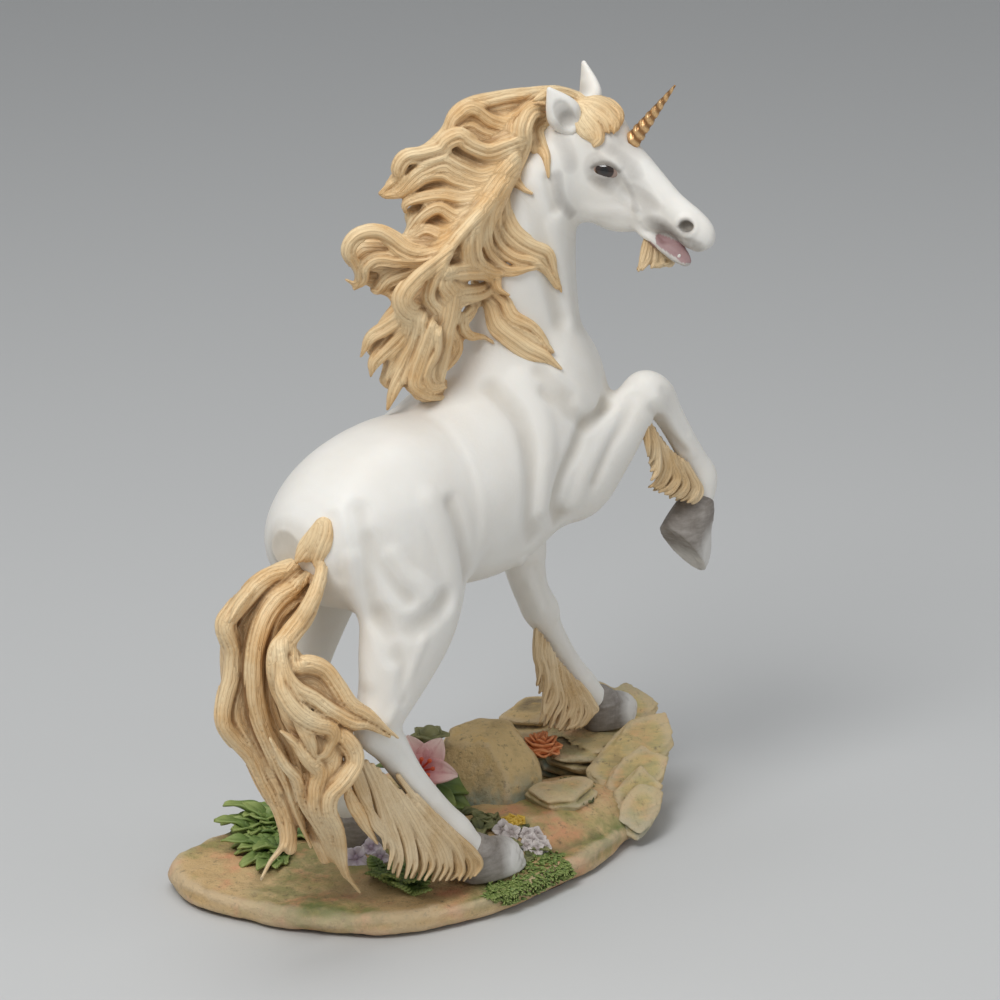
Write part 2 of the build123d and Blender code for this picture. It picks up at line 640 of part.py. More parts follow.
# Tail: a dock that lifts from the rump and four locks that fall from it to the ground.
tail_dock_shares = [
    (-0.37, -0.145, 0.514, 0.34, 0.6), (-0.41, -0.155, 0.508, 0.40, 0.75), (-0.455, -0.173, 0.498, 0.5, 0.85),
    (-0.50, -0.19, 0.49, 0.5, 0.7),
]
tail_outer_shares = [
    (-0.44, -0.173, 0.502, 0.40, 0.60), (-0.525, -0.21, 0.494, 0.62, 0.85), (-0.59, -0.245, 0.466, 0.70, 0.95),
    (-0.615, -0.273, 0.416, 0.75, 1.0), (-0.62, -0.29, 0.36, 0.72, 1.0), (-0.61, -0.30, 0.308, 0.70, 0.95),
    (-0.578, -0.30, 0.248, 0.66, 0.9), (-0.525, -0.282, 0.184, 0.6, 0.85), (-0.485, -0.264, 0.124, 0.55, 0.8),
    (-0.45, -0.255, 0.08, 0.5, 0.7), (-0.415, -0.245, 0.04, 0.40, 0.6), (-0.39, -0.236, 0.008, 0.30, 0.5),
]
tail_inner_shares = [
    (-0.42, -0.182, 0.472, 0.3, 0.5), (-0.475, -0.218, 0.42, 0.55, 0.75), (-0.52, -0.255, 0.372, 0.6, 0.8),
    (-0.533, -0.282, 0.32, 0.6, 0.8), (-0.52, -0.29, 0.264, 0.58, 0.8), (-0.49, -0.282, 0.20, 0.55, 0.75),
    (-0.47, -0.264, 0.14, 0.5, 0.7), (-0.475, -0.236, 0.092, 0.42, 0.6), (-0.485, -0.17, 0.056, 0.35, 0.5),
    (-0.465, -0.073, 0.022, 0.25, 0.4), (-0.44, 0.018, 0.006, 0.15, 0.3),
]
tail_side_shares = [
    (-0.54, -0.327, 0.40, 0.4, 0.5), (-0.53, -0.40, 0.388, 0.42, 0.5), (-0.50, -0.44, 0.354, 0.42, 0.45),
    (-0.455, -0.459, 0.314, 0.33, 0.4), (-0.40, -0.464, 0.276, 0.12, 0.2),
]
tail_lower_shares = [
    (-0.535, -0.364, 0.348, 0.42, 0.5), (-0.505, -0.427, 0.306, 0.45, 0.5), (-0.488, -0.445, 0.26, 0.45, 0.5),
    (-0.492, -0.418, 0.214, 0.45, 0.5), (-0.475, -0.382, 0.158, 0.45, 0.5), (-0.443, -0.336, 0.096, 0.4, 0.5),
    (-0.408, -0.30, 0.038, 0.28, 0.4), (-0.38, -0.273, 0.004, 0.12, 0.25),
]

with BuildPart() as tail_dock:
    add(lock_form(tail_dock_shares, tail_breadth, tail_thickness))
    cut_by(torso, right_thigh, left_thigh)
    keep_largest()

with BuildPart() as tail_outer:
    add(lock_form(tail_outer_shares, tail_breadth, tail_thickness))
    cut_by(torso, tail_dock, base_slab)
    keep_largest()

with BuildPart() as tail_inner:
    add(lock_form(tail_inner_shares, tail_breadth, tail_thickness))
    cut_by(torso, right_thigh, left_thigh, tail_dock, tail_outer, base_slab)
    keep_largest()

with BuildPart() as tail_side:
    add(lock_form(tail_side_shares, tail_breadth, tail_thickness))
    cut_by(right_thigh, right_hind_cannon, right_hind_feather, tail_outer, tail_inner)
    keep_largest()

with BuildPart() as tail_lower:
    add(lock_form(tail_lower_shares, tail_breadth, tail_thickness))
    cut_by(right_hind_cannon, right_hind_feather, tail_outer, tail_inner, tail_side, base_slab)
    keep_largest()

# Flowers and leaves. A petal or leaf is a thin blade, narrow at its root and pointed at its end.

blade_corner_shares = [(0, -0.15), (0.4, -0.5), (0.7, -0.44), (1.0, 0), (0.7, 0.44), (0.4, 0.5), (0, 0.15)]


def blade(length, breadth, thickness):
    """A blade that starts at the origin and runs along X."""
    with BuildPart() as form:
        with BuildSketch():
            Polygon(*[(x * length, y * breadth) for x, y in blade_corner_shares], align=None)
        extrude(amount=thickness)
    return form.part


def whorl(heart, count, lift, length, breadth, thickness):
    """Blades set evenly round a flower's own plane, each lifted out of it."""
    petal = blade(length, breadth, thickness)
    return [heart * Location((0, 0, 0), (0, -lift, 360 * k / count)) * petal for k in range(count)]


def facing(centre, direction):
    """The plane of a flower that faces a direction."""
    return section_plane(centre, direction, Vector(1, 0, 0))


up = Vector(0, 0, 1)
toward_front = Vector(0.1, -0.6, 0.8)


def stalk(foot, tip, diameter):
    """A stalk that narrows from the ground to the flower it carries."""
    rings = []
    for place, size_share in ((foot, 1.0), (tip, 0.72)):
        stalk_plane = section_plane(place, tip - foot, Vector(1, 0, 0))
        rings.append(placed(stalk_plane, oval_corners(size_share * diameter, size_share * diameter, 6)))
    return skin(rings)


def heart_dome(plane, diameter):
    """The domed middle of a flower, from just behind its own plane."""
    rings = []
    for level_share, size_share in ((-0.4, 0.6), (0, 1.0), (0.4, 0.5)):
        rings.append(placed(plane.offset(level_share * diameter), oval_corners(size_share * diameter, size_share * diameter, 6)))
    return skin(rings)


bloom_level_shares = [(0, 0.22), (0.75, 0.2), (1.0, 1.0), (1.2, 0.3)]


def bloom(foot, height, diameter, petals):
    """A blossom on its stalk, skinned over starry rings from the ground up."""
    ring = []
    for k in range(2 * petals):
        radius = diameter / 2 * (1 if k % 2 == 0 else 0.5)
        ring.append(Vector(radius * math.cos(math.pi * k / petals), radius * math.sin(math.pi * k / petals)))
    rings = []
    for level_share, size_share in bloom_level_shares:
        rings.append(placed(Plane(origin=foot + up * (level_share * height)), [corner * size_share for corner in ring]))
    return skin(rings)


lily_heart = spot(-0.045, 0.05, 0.085)
lily_foot = spot(-0.03, 0.09, 0)
bud_foot = spot(-0.05, 0.16, 0)
bud_tip = spot(-0.02, 0.17, 0.104)
lily_direction = Vector(-0.2, -0.75, 0.62)

with BuildPart() as lily_petals:
    add(heart_dome(facing(lily_heart, lily_direction), 0.6 * lily_petal_breadth))
    add(whorl(facing(lily_heart, lily_direction), 6, 38, lily_petal_length, lily_petal_breadth, petal_thickness))

with BuildPart() as lily_stamens:
    for k in range(5):
        stamen_spread = Vector(0.42 * math.cos(math.radians(72 * k)), 0, 0.42 * math.sin(math.radians(72 * k)))
        stamen_way = (lily_direction.normalized() + stamen_spread).normalized()
        with BuildSketch(section_plane(lily_heart, stamen_way, Vector(1, 0, 0))):
            RegularPolygon(stamen_diameter / 2, 4)
        extrude(amount=stamen_length)
    cut_by(lily_petals)

with BuildPart() as lily_bud:
    rings = []
    for level_share, size_share in ((0, 0.6), (0.5, 1.0), (1.0, 0.7), (1.5, 0.14)):
        bud_plane = facing(bud_tip + up * (level_share * lily_bud_diameter), up)
        rings.append(placed(bud_plane, oval_corners(size_share * lily_bud_diameter, size_share * lily_bud_diameter, 8)))
    add(skin(rings))
    cut_by(boulder, lily_petals)
    keep_largest()

with BuildPart() as lily_leaves:
    add(stalk(lily_foot, lily_heart, leaf_breadth / 2))
    add(stalk(bud_foot, bud_tip, leaf_breadth / 2))
    add(whorl(facing(lily_foot + up * (leaf_breadth / 2), up), 5, 40, leaf_length, leaf_breadth, leaf_thickness))
    add(whorl(facing((lily_foot + lily_heart) / 2, toward_front), 3, 20, leaf_length, leaf_breadth, leaf_thickness))
    cut_by(base_slab, sand_mound, boulder, lily_petals, lily_stamens, lily_bud)
    keep_largest()

with BuildPart() as rose:
    rose_heart = spot(0.18, -0.06, 0) + up * mound_height
    add(heart_dome(facing(rose_heart + up * (0.2 * rose_diameter), up), 0.5 * rose_diameter))
    for count, lift in ((6, 18), (5, 42), (4, 66)):
        rose_ring = facing(rose_heart + up * (0.04 * rose_diameter), up)
        add(whorl(rose_ring, count, lift, rose_diameter / 2, 0.5 * rose_diameter, petal_thickness))
    cut_by(sand_mound, boulder, ledge_core, ledge_slab_front, flat_stone)
    keep_largest()


def ground_blossoms(places, height, diameter, petals):
    """Blossoms that stand on the level ground."""
    return [bloom(spot(x_share, y_share, 0), height, diameter, petals) for x_share, y_share in places]


with BuildPart() as violet_blossoms:
    violet_places = ((-0.25, -0.06), (-0.285, -0.01), (-0.26, 0.02))
    add(ground_blossoms(violet_places, 0.6 * blossom_diameter, blossom_diameter, 5))
    cut_by(left_hind_hoof)

with BuildPart() as pale_blossoms:
    pale_places = ((-0.03, -0.27), (0.01, -0.32), (-0.02, -0.345), (0.02, -0.36))
    add(ground_blossoms(pale_places, 0.86 * mound_height, small_blossom_diameter, 4))
    cut_by(sand_mound)

with BuildPart() as yellow_blossoms:
    yellow_places = ((0, -0.21), (0.03, -0.25), (-0.03, -0.22))
    add(ground_blossoms(yellow_places, 1.1 * mound_height, small_blossom_diameter, 4))
    cut_by(sand_mound, pale_blossoms)

with BuildPart() as moss_patch:
    moss_levels = ((0, 1.0), (0.6, 0.85), (1.0, 0.45))
    add(stone(spot(-0.05, -0.41, 0), 1.7 * rose_diameter, rose_diameter, 0.2 * rose_diameter, stone_ring_shares, moss_levels))
    cut_by(sand_mound, pale_blossoms, right_hind_hoof)
    keep_largest()

with BuildPart() as ferns:
    for x_share, y_share, size_share, leaf_count in (
        (-0.29, -0.26, 0.8, 6), (-0.31, 0.33, 1.0, 6), (-0.39, 0.19, 0.9, 6), (-0.36, 0.27, 0.8, 5), (0.02, -0.06, 0.55, 5),
    ):
        fern_foot = spot(x_share, y_share, 0)
        fern_height = mound_height if x_share > 0 else leaf_breadth / 3
        add(stalk(fern_foot, fern_foot + up * fern_height, leaf_breadth / 2))
        fern_crown = facing(fern_foot + up * fern_height, up)
        add(whorl(fern_crown, leaf_count, 32, size_share * leaf_length, size_share * leaf_breadth, leaf_thickness))
    cut_by(base_slab, sand_mound, boulder, lily_leaves, right_hind_cannon, right_hind_hoof, right_hind_feather, tail_inner)

pieces = {
    "felt_pad": felt_pad, "base_slab": base_slab, "sand_mound": sand_mound, "boulder": boulder,
    "rear_rock": rear_rock, "ledge_core": ledge_core, "flat_stone": flat_stone,
    "ledge_slab_upper": ledge_slab_upper, "ledge_slab_front": ledge_slab_front,
    "ledge_slab_middle": ledge_slab_middle, "ledge_slab_lower": ledge_slab_lower,
    "torso": torso, "neck": neck, "eyes": eyes, "head": head, "lower_jaw": lower_jaw,
    "ear_right": ear_right, "ear_left": ear_left, "beard": beard, "horn": horn,
    "right_forearm": right_forearm, "right_fore_cannon": right_fore_cannon, "right_fore_hoof": right_fore_hoof,
    "left_forearm": left_forearm, "left_fore_cannon": left_fore_cannon, "left_fore_hoof": left_fore_hoof,
    "right_thigh": right_thigh, "right_hind_cannon": right_hind_cannon, "right_hind_hoof": right_hind_hoof,
    "left_thigh": left_thigh, "left_hind_cannon": left_hind_cannon, "left_hind_hoof": left_hind_hoof,
    "right_fore_feather": right_fore_feather, "left_fore_feather": left_fore_feather,
    "right_hind_feather": right_hind_feather,
    "mane_root": mane_root, "mane_crest": mane_crest, "mane_upper": mane_upper, "mane_middle": mane_middle,
    "mane_lower": mane_lower, "mane_withers": mane_withers, "mane_long_near": mane_long_near,
    "mane_near": mane_near, "forelock": forelock,
    "tail_dock": tail_dock, "tail_outer": tail_outer, "tail_inner": tail_inner, "tail_side": tail_side,
    "tail_lower": tail_lower,
    "lily_petals": lily_petals, "lily_stamens": lily_stamens, "lily_bud": lily_bud, "lily_leaves": lily_leaves,
    "rose": rose, "violet_blossoms": violet_blossoms, "pale_blossoms": pale_blossoms,
    "yellow_blossoms": yellow_blossoms, "moss_patch": moss_patch, "ferns": ferns,
}

os.makedirs("parts", exist_ok=True)
for name, piece in pieces.items():
    piece.part.label = name
    export_step(piece.part, f"parts/{name}.step")
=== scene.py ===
"""Dressed model of a rearing unicorn figurine on a rocky base, in metres."""
import itertools
import math

import bpy
import numpy as np
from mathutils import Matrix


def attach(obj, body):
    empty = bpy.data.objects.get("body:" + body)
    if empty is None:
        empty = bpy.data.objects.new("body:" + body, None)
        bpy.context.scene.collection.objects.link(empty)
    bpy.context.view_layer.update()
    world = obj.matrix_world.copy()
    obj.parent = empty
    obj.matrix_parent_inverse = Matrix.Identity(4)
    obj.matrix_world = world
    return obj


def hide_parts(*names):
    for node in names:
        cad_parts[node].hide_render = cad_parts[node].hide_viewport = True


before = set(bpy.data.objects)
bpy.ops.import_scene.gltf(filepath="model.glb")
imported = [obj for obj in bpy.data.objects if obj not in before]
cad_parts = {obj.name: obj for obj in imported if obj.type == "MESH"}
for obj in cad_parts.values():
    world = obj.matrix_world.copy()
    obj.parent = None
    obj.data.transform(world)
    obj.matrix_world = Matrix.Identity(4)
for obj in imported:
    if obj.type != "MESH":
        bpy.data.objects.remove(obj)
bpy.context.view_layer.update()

import openvdb
from mathutils import Vector
from mathutils.kdtree import KDTree

MM = 0.001
COARSE = 1.0
# Distances in a field stay within this many millimetres.
FAR = 9.0
UPWARD = np.array([0.0, 0.0, 1.0])
SIDEWAYS = np.array([0.0, 1.0, 0.0])

# The camera: degrees round and above level, distance in millimetres, and pixels to a millimetre there.
AZIMUTH, ELEVATION, DISTANCE, PIXELS = 45.0, 18.0, 1600.0, 2.85
FOCAL = PIXELS * DISTANCE
CENTRE = 500
# The point with this x on the X axis is seen at this pixel.
SEEN_COLUMN, SEEN_ROW, SEEN_X = 408, 866, -25.0
# A ray is searched this far to both sides of the middle distance, in steps this long.
SEARCH, SEARCH_STEP = 190, 0.3


def camera_axes():
    """Right, up and forward of the camera, and its place, in millimetres."""
    turn, rise = math.radians(AZIMUTH), math.radians(ELEVATION)
    forward = np.array([math.sin(turn) * math.cos(rise), math.cos(turn) * math.cos(rise), -math.sin(rise)])
    right = np.array([math.cos(turn), -math.sin(turn), 0.0])
    up = np.cross(right, forward)
    target = right * ((CENTRE - SEEN_COLUMN) / PIXELS) + up * ((SEEN_ROW - CENTRE) / PIXELS)
    return right, up, forward, target - forward * DISTANCE + np.array([SEEN_X, 0, 0])


RIGHT, UP, FORWARD, EYE = camera_axes()


def sight(column, row):
    """Direction of the ray that meets the photograph's pixel."""
    ray = FORWARD + RIGHT * (column - CENTRE) / FOCAL + UP * (CENTRE - row) / FOCAL
    return ray / np.linalg.norm(ray)


def on_plane(column, row, axis, value):
    """The point of a pixel's ray where one coordinate has the given value."""
    ray = sight(column, row)
    return EYE + ray * (value - EYE[axis]) / ray[axis]


def unit(v):
    """Vectors scaled to length one."""
    v = np.asarray(v, float)
    return v / np.maximum(np.linalg.norm(v, axis=-1, keepdims=True), 1e-9)


def spline(rows, steps):
    """Rows of numbers joined by a smooth curve through them."""
    rows = np.asarray(rows, float)
    if len(rows) < 2:
        return rows
    p = np.vstack([2 * rows[0] - rows[1], rows, 2 * rows[-1] - rows[-2]])
    t = np.linspace(0, 1, steps, endpoint=False)[:, None]
    out = []
    for k in range(1, len(p) - 2):
        a, b, c, d = p[k - 1], p[k], p[k + 1], p[k + 2]
        out.append(0.5 * (2 * b + (c - a) * t + (2 * a - 5 * b + 4 * c - d) * t**2 + (3 * b - a - 3 * c + d) * t**3))
    out.append(rows[-1:])
    return np.vstack(out)


def melt(a, b, k):
    """Smooth union of two distances."""
    if k <= 0:
        return np.minimum(a, b)
    h = np.maximum(k - np.abs(a - b), 0) / k
    return np.minimum(a, b) - h * h * k * 0.25


def oval_distance(size, ratio, least):
    """Distance to an oval, from an offset's length, the same length in radii, and the least radius."""
    return np.where(ratio > 0.3, size * (1 - 1 / ratio), -least * (1 - ratio))


def cell_corners(share):
    """The eight corners of a cell with their weights for linear interpolation."""
    for corner in itertools.product((0, 1), repeat=3):
        yield corner, math.prod(share[..., i] if corner[i] else 1 - share[..., i] for i in range(3))


class Clay:
    """A distance field in millimetres that is built up and cut like clay."""

    def __init__(self, low, high, step, origin=(0, 0, 0), axes=None):
        self.origin = np.array(origin, float)
        self.axes = np.eye(3) if axes is None else np.array(axes, float)
        self.step = step
        self.low = np.array(low, float)
        self.count = np.ceil((np.array(high, float) - self.low) / step).astype(int) + 1
        self.d = np.full(self.count, FAR, np.float32)

    def window(self, low, high):
        """The part of the field between two corners, and its coordinates along each axis."""
        a = np.clip(np.floor((low - self.low) / self.step).astype(int), 0, self.count)
        b = np.clip(np.ceil((high - self.low) / self.step).astype(int) + 1, 0, self.count)
        cut = tuple(slice(i, j) for i, j in zip(a, b))
        axes = [self.low[i] + self.step * np.arange(a[i], b[i]) for i in range(3)]
        return cut, np.ix_(*axes)

    def ticks(self):
        """Coordinates of the field's points along its three axes."""
        return [self.low[i] + self.step * np.arange(self.count[i]) for i in range(3)]

    def swept(self, rows, margin, steps=6, blunt=1.0, face=None, strands=0, groove=0.0):
        """Distance to a tube of oval sections; rows are x, y, z, half depth, half width."""
        rows = spline(rows, steps)
        centre, radius = rows[:, :3], np.maximum(rows[:, 3:5], 0.15)
        reach = radius.max() + margin
        cut, axes = self.window(centre.min(0) - reach, centre.max(0) + reach)
        field = Clay.__new__(Clay)
        field.step, field.low = self.step, self.low + self.step * np.array([c.start for c in cut])
        field.count = np.array([c.stop - c.start for c in cut])
        field.d = np.full(field.count, FAR, np.float32)
        along = unit(np.gradient(centre, axis=0))
        guide = np.asarray(SIDEWAYS if face is None else face, float)
        level = unit(guide - along * (along @ guide)[:, None])
        wide, deep = (level, np.cross(along, level)) if face is None else (np.cross(level, along), level)
        run = np.concatenate([[0], np.cumsum(np.linalg.norm(np.diff(centre, axis=0), axis=1))])
        last = len(rows) - 2
        for k in range(last + 1):
            a, b = centre[k], centre[k + 1]
            t_axis = unit(b - a)
            gap = np.linalg.norm(b - a)
            w_axis = unit(wide[k] + wide[k + 1])
            d_axis = unit(deep[k] + deep[k + 1])
            big = radius[k:k + 2].max(0)
            ends = (k == 0) or (k == last)
            spread = np.sqrt((big[0] * d_axis) ** 2 + (big[1] * w_axis) ** 2) + margin
            if ends:
                spread = spread + big.min() * blunt * np.abs(t_axis)
            inner, (x, y, z) = field.window(np.minimum(a, b) - spread, np.maximum(a, b) + spread)
            if min(s.stop - s.start for s in inner) <= 0:
                continue
            px, py, pz = x - a[0], y - a[1], z - a[2]
            s = px * t_axis[0] + py * t_axis[1] + pz * t_axis[2]
            t = np.clip(s / gap, 0, 1)
            over = s - t * gap
            r_d = radius[k, 0] + (radius[k + 1, 0] - radius[k, 0]) * t
            r_w = radius[k, 1] + (radius[k + 1, 1] - radius[k, 1]) * t
            u = px * d_axis[0] + py * d_axis[1] + pz * d_axis[2]
            v = px * w_axis[0] + py * w_axis[1] + pz * w_axis[2]
            r_e = np.minimum(r_d, r_w) * blunt
            ratio = np.sqrt((u / r_d) ** 2 + (v / r_w) ** 2 + (over / r_e) ** 2) + 1e-6
            size = np.sqrt(u * u + v * v + over * over)
            dist = oval_distance(size, ratio, np.minimum(r_d, r_w))
            if strands:
                across = np.clip(v / r_w, -1, 1) * (1 - 0.15 * math.sin(run[k] * 0.21))
                ridge = 0.5 + 0.5 * np.cos(across * strands * 1.9 + 0.7 * math.sin(run[k] * 0.13) + centre[0, 2])
                dist = dist + groove * ridge ** 2 * np.minimum(1, r_w / 2.2)
            field.d[inner] = np.minimum(field.d[inner], dist.astype(np.float32))
        return cut, field.d

    def add(self, rows, blend=5.0, **how):
        """Adds a tube that melts into what is there."""
        cut, other = self.swept(rows, margin=blend + 3, **how)
        self.d[cut] = melt(self.d[cut], other, blend)

    def groove(self, rows, blend=2.0, **how):
        """Cuts a tube out, with a rounded edge."""
        cut, other = self.swept(rows, margin=blend + 3, **how)
        self.d[cut] = -melt(-self.d[cut], other, blend)

    def oval(self, centre, radii, blend=6.0, axes=None, cutting=False):
        """Adds or cuts an ellipsoid."""
        centre, radii = np.asarray(centre, float), np.asarray(radii, float)
        axes = np.eye(3) if axes is None else unit(axes)
        reach = np.sqrt(((axes * radii[:, None]) ** 2).sum(0)) + blend + 2
        cut, (x, y, z) = self.window(centre - reach, centre + reach)
        x, y, z = x - centre[0], y - centre[1], z - centre[2]
        parts = [(x * a[0] + y * a[1] + z * a[2]) / r for a, r in zip(axes, radii)]
        ratio = np.sqrt(parts[0] ** 2 + parts[1] ** 2 + parts[2] ** 2) + 1e-6
        size = np.sqrt(x * x + y * y + z * z)
        dist = oval_distance(size, ratio, radii.min()).astype(np.float32)
        if cutting:
            self.d[cut] = -melt(-self.d[cut], dist, blend)
        else:
            self.d[cut] = melt(self.d[cut], dist, blend)

    def press(self, centre, radii, amount):
        """Moves the surface out (or in, when negative) around a place, fading to nothing."""
        centre, radii = np.asarray(centre, float), np.asarray(radii, float)
        cut, axes = self.window(centre - radii * 1.1, centre + radii * 1.1)
        q = sum(((axis - middle) / radius) ** 2 for axis, middle, radius in zip(axes, centre, radii))
        self.d[cut] -= (amount * np.clip(1 - q, 0, 1) ** 2).astype(np.float32)

    def trace(self, rows, radius, amount):
        """Raises or sinks a soft line along points on the surface."""
        rows = spline(rows, 5)
        cut, (x, y, z) = self.window(rows.min(0)[:3] - radius, rows.max(0)[:3] + radius)
        near = np.full([s.stop - s.start for s in cut], 1e9, np.float32)
        for k in range(len(rows) - 1):
            a, b = rows[k, :3], rows[k + 1, :3]
            ab = b - a
            px, py, pz = x - a[0], y - a[1], z - a[2]
            t = np.clip((px * ab[0] + py * ab[1] + pz * ab[2]) / max(ab @ ab, 1e-9), 0, 1)
            q = (px - t * ab[0]) ** 2 + (py - t * ab[1]) ** 2 + (pz - t * ab[2]) ** 2
            near = np.minimum(near, q.astype(np.float32))
        self.d[cut] -= amount * np.clip(1 - near / radius**2, 0, 1) ** 2

    def soften(self, times):
        """Averages each voxel with its neighbours."""
        for _ in range(times):
            for axis in range(3):
                d = self.d
                low = np.concatenate([d.take([0], axis), d.take(range(d.shape[axis] - 1), axis)], axis)
                high = np.concatenate([d.take(range(1, d.shape[axis]), axis), d.take([-1], axis)], axis)
                self.d = (low + 2 * d + high) * 0.25

    def at(self, points, field=None):
        """Field value at points, by linear interpolation."""
        field = self.d if field is None else field
        q = (np.asarray(points, float) - self.low) / self.step
        q = np.clip(q, 0, self.count - 1.001)
        i = q.astype(int)
        f = q - i
        return sum(w * field[i[:, 0] + dx, i[:, 1] + dy, i[:, 2] + dz] for (dx, dy, dz), w in cell_corners(f))

    def touch(self, pixels):
        """Points where pixels' rays meet the surface, in the field's own frame; not a number where they miss."""
        found = []
        depth = np.arange(DISTANCE - SEARCH, DISTANCE + SEARCH, SEARCH_STEP)
        for column, row in pixels:
            line = self.inside(EYE + sight(column, row) * depth[:, None])
            within = self.at(line) < 0
            hit = np.argmax(within)
            found.append(line[hit] if within[hit] else np.full(3, np.nan))
        return np.array(found)

    def inside(self, points):
        """Figure points in the field's own frame."""
        return (np.asarray(points, float) - self.origin) @ self.axes.T

    def outside(self, points):
        """Points of the field's own frame in the figure's frame."""
        return np.asarray(points, float) @ self.axes + self.origin

    def slope(self, points):
        """Outward direction of the surface at points."""
        points = np.asarray(points, float)
        e = self.step
        return unit(np.stack([self.at(points + np.eye(3)[i] * e)
                              - self.at(points - np.eye(3)[i] * e) for i in range(3)], -1))

    def hollow(self, reach):
        """How sunken the surface is at each voxel: a wide average of the field."""
        n = max(1, int(round(reach / self.step)))
        d = np.clip(self.d, -reach * 1.5, reach * 1.5)
        for _ in range(2):
            for axis in range(3):
                pad = [(0, 0)] * 3
                pad[axis] = (n + 1, n)
                total = np.cumsum(np.pad(d, pad, mode="edge"), axis=axis, dtype=np.float64)
                size, span = total.shape[axis], 2 * n + 1
                d = (total.take(range(span, size), axis) - total.take(range(size - span), axis)) / span
                d = d.astype(np.float32)
        return d

    def skin(self):
        """Corner points and four-sided faces of the surface, facing outwards."""
        grid = openvdb.FloatGrid(FAR)
        grid.copyFromArray(np.ascontiguousarray(np.clip(self.d, -FAR, FAR)))
        points, quads = grid.convertToQuads(0.0)
        return points * self.step + self.low, quads.astype(np.int64)


# Corners along each side of the lattice that noise repeats after.
LATTICE = 32


def noise(points, scale, seed, octaves):
    """Smooth noise in −1…1 from a seeded lattice, at points in millimetres."""
    table = np.random.default_rng(seed).uniform(-1, 1, (LATTICE,) * 3).astype(np.float32)
    total, weight, norm = 0, 1.0, 0
    p = np.asarray(points, float) / scale
    for _ in range(octaves):
        i = np.floor(p).astype(int)
        f = p - i
        f = f * f * (3 - 2 * f)
        value = 0
        for corner, w in cell_corners(f):
            value = value + w * table[tuple((i[..., k] + corner[k]) % LATTICE for k in range(3))]
        total = total + value * weight
        norm += weight
        weight *= 0.5
        p = p * 2.03 + 11.7
    return total / norm


# Meshes from points and faces, with numbers painted on their corners.
def piece(name, points, faces, nodes, material, paint):
    """Makes one visible piece that rides on the figurine; points are in millimetres."""
    points = np.asarray(points, np.float32) * MM
    mesh = bpy.data.meshes.new(name)
    count, sides = faces.shape
    mesh.vertices.add(len(points))
    mesh.vertices.foreach_set("co", points.ravel())
    mesh.loops.add(count * sides)
    mesh.loops.foreach_set("vertex_index", faces.astype(np.int32).ravel())
    mesh.polygons.add(count)
    mesh.polygons.foreach_set("loop_start", np.arange(0, count * sides, sides, dtype=np.int32))
    mesh.update(calc_edges=True)
    mesh.validate()
    mesh.polygons.foreach_set("use_smooth", np.full(len(mesh.polygons), True))
    for key, values in paint.items():
        layer = mesh.attributes.new(key, "FLOAT", "POINT")
        layer.data.foreach_set("value", np.asarray(values, np.float32).ravel())
    mesh.update()
    item = bpy.data.objects.new(name, mesh)
    bpy.context.scene.collection.objects.link(item)
    mesh.materials.append(material)
    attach(item, "root")
    if nodes:
        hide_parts(*nodes)


def gather(parts):
    """Joins lists of points, faces and painted numbers into one."""
    points, faces, paint, base = [], [], {}, 0
    for p, f, extra in parts:
        points.append(p)
        faces.append(np.asarray(f) + base)
        base += len(p)
        for key, values in extra.items():
            paint.setdefault(key, []).append(np.asarray(values, float))
    return np.vstack(points), np.vstack(faces), {k: np.concatenate(v) for k, v in paint.items()}


def ring_faces(rings, around):
    """Four-sided faces between closed rings of points."""
    index = np.arange(rings * around).reshape(rings, around)
    after = np.roll(index, -1, 1)
    return np.stack([index[:-1], after[:-1], after[1:], index[1:]], -1).reshape(-1, 4)


def globe(radii, rings, around):
    """Points of an ellipsoid in rings from its top to its foot."""
    a, b, c = radii
    turns = [2 * math.pi * j / around for j in range(around)]
    return np.array([[a * math.sin(lift) * math.cos(turn), b * math.sin(lift) * math.sin(turn), c * math.cos(lift)]
                     for lift in (math.pi * i / rings for i in range(rings + 1)) for turn in turns])


# Past a seam a surface sinks by this share of the way, and ends after this many millimetres.
SEAM_EASE, SEAM_SPARE = 0.12, 4.0


def keep_side(clay, origin, outward):
    """A copy of the field that ends just past a plane, sinking slowly under its neighbour."""
    x, y, z = np.ix_(*(tick - start for tick, start in zip(clay.ticks(), origin)))
    outward = unit(outward)
    past = (x * outward[0] + y * outward[1] + z * outward[2]).astype(np.float32)
    other = Clay.__new__(Clay)
    other.step, other.low, other.count = clay.step, clay.low, clay.count
    other.origin, other.axes = clay.origin, clay.axes
    other.d = np.maximum(clay.d + SEAM_EASE * np.maximum(past, 0), past - SEAM_SPARE)
    return other


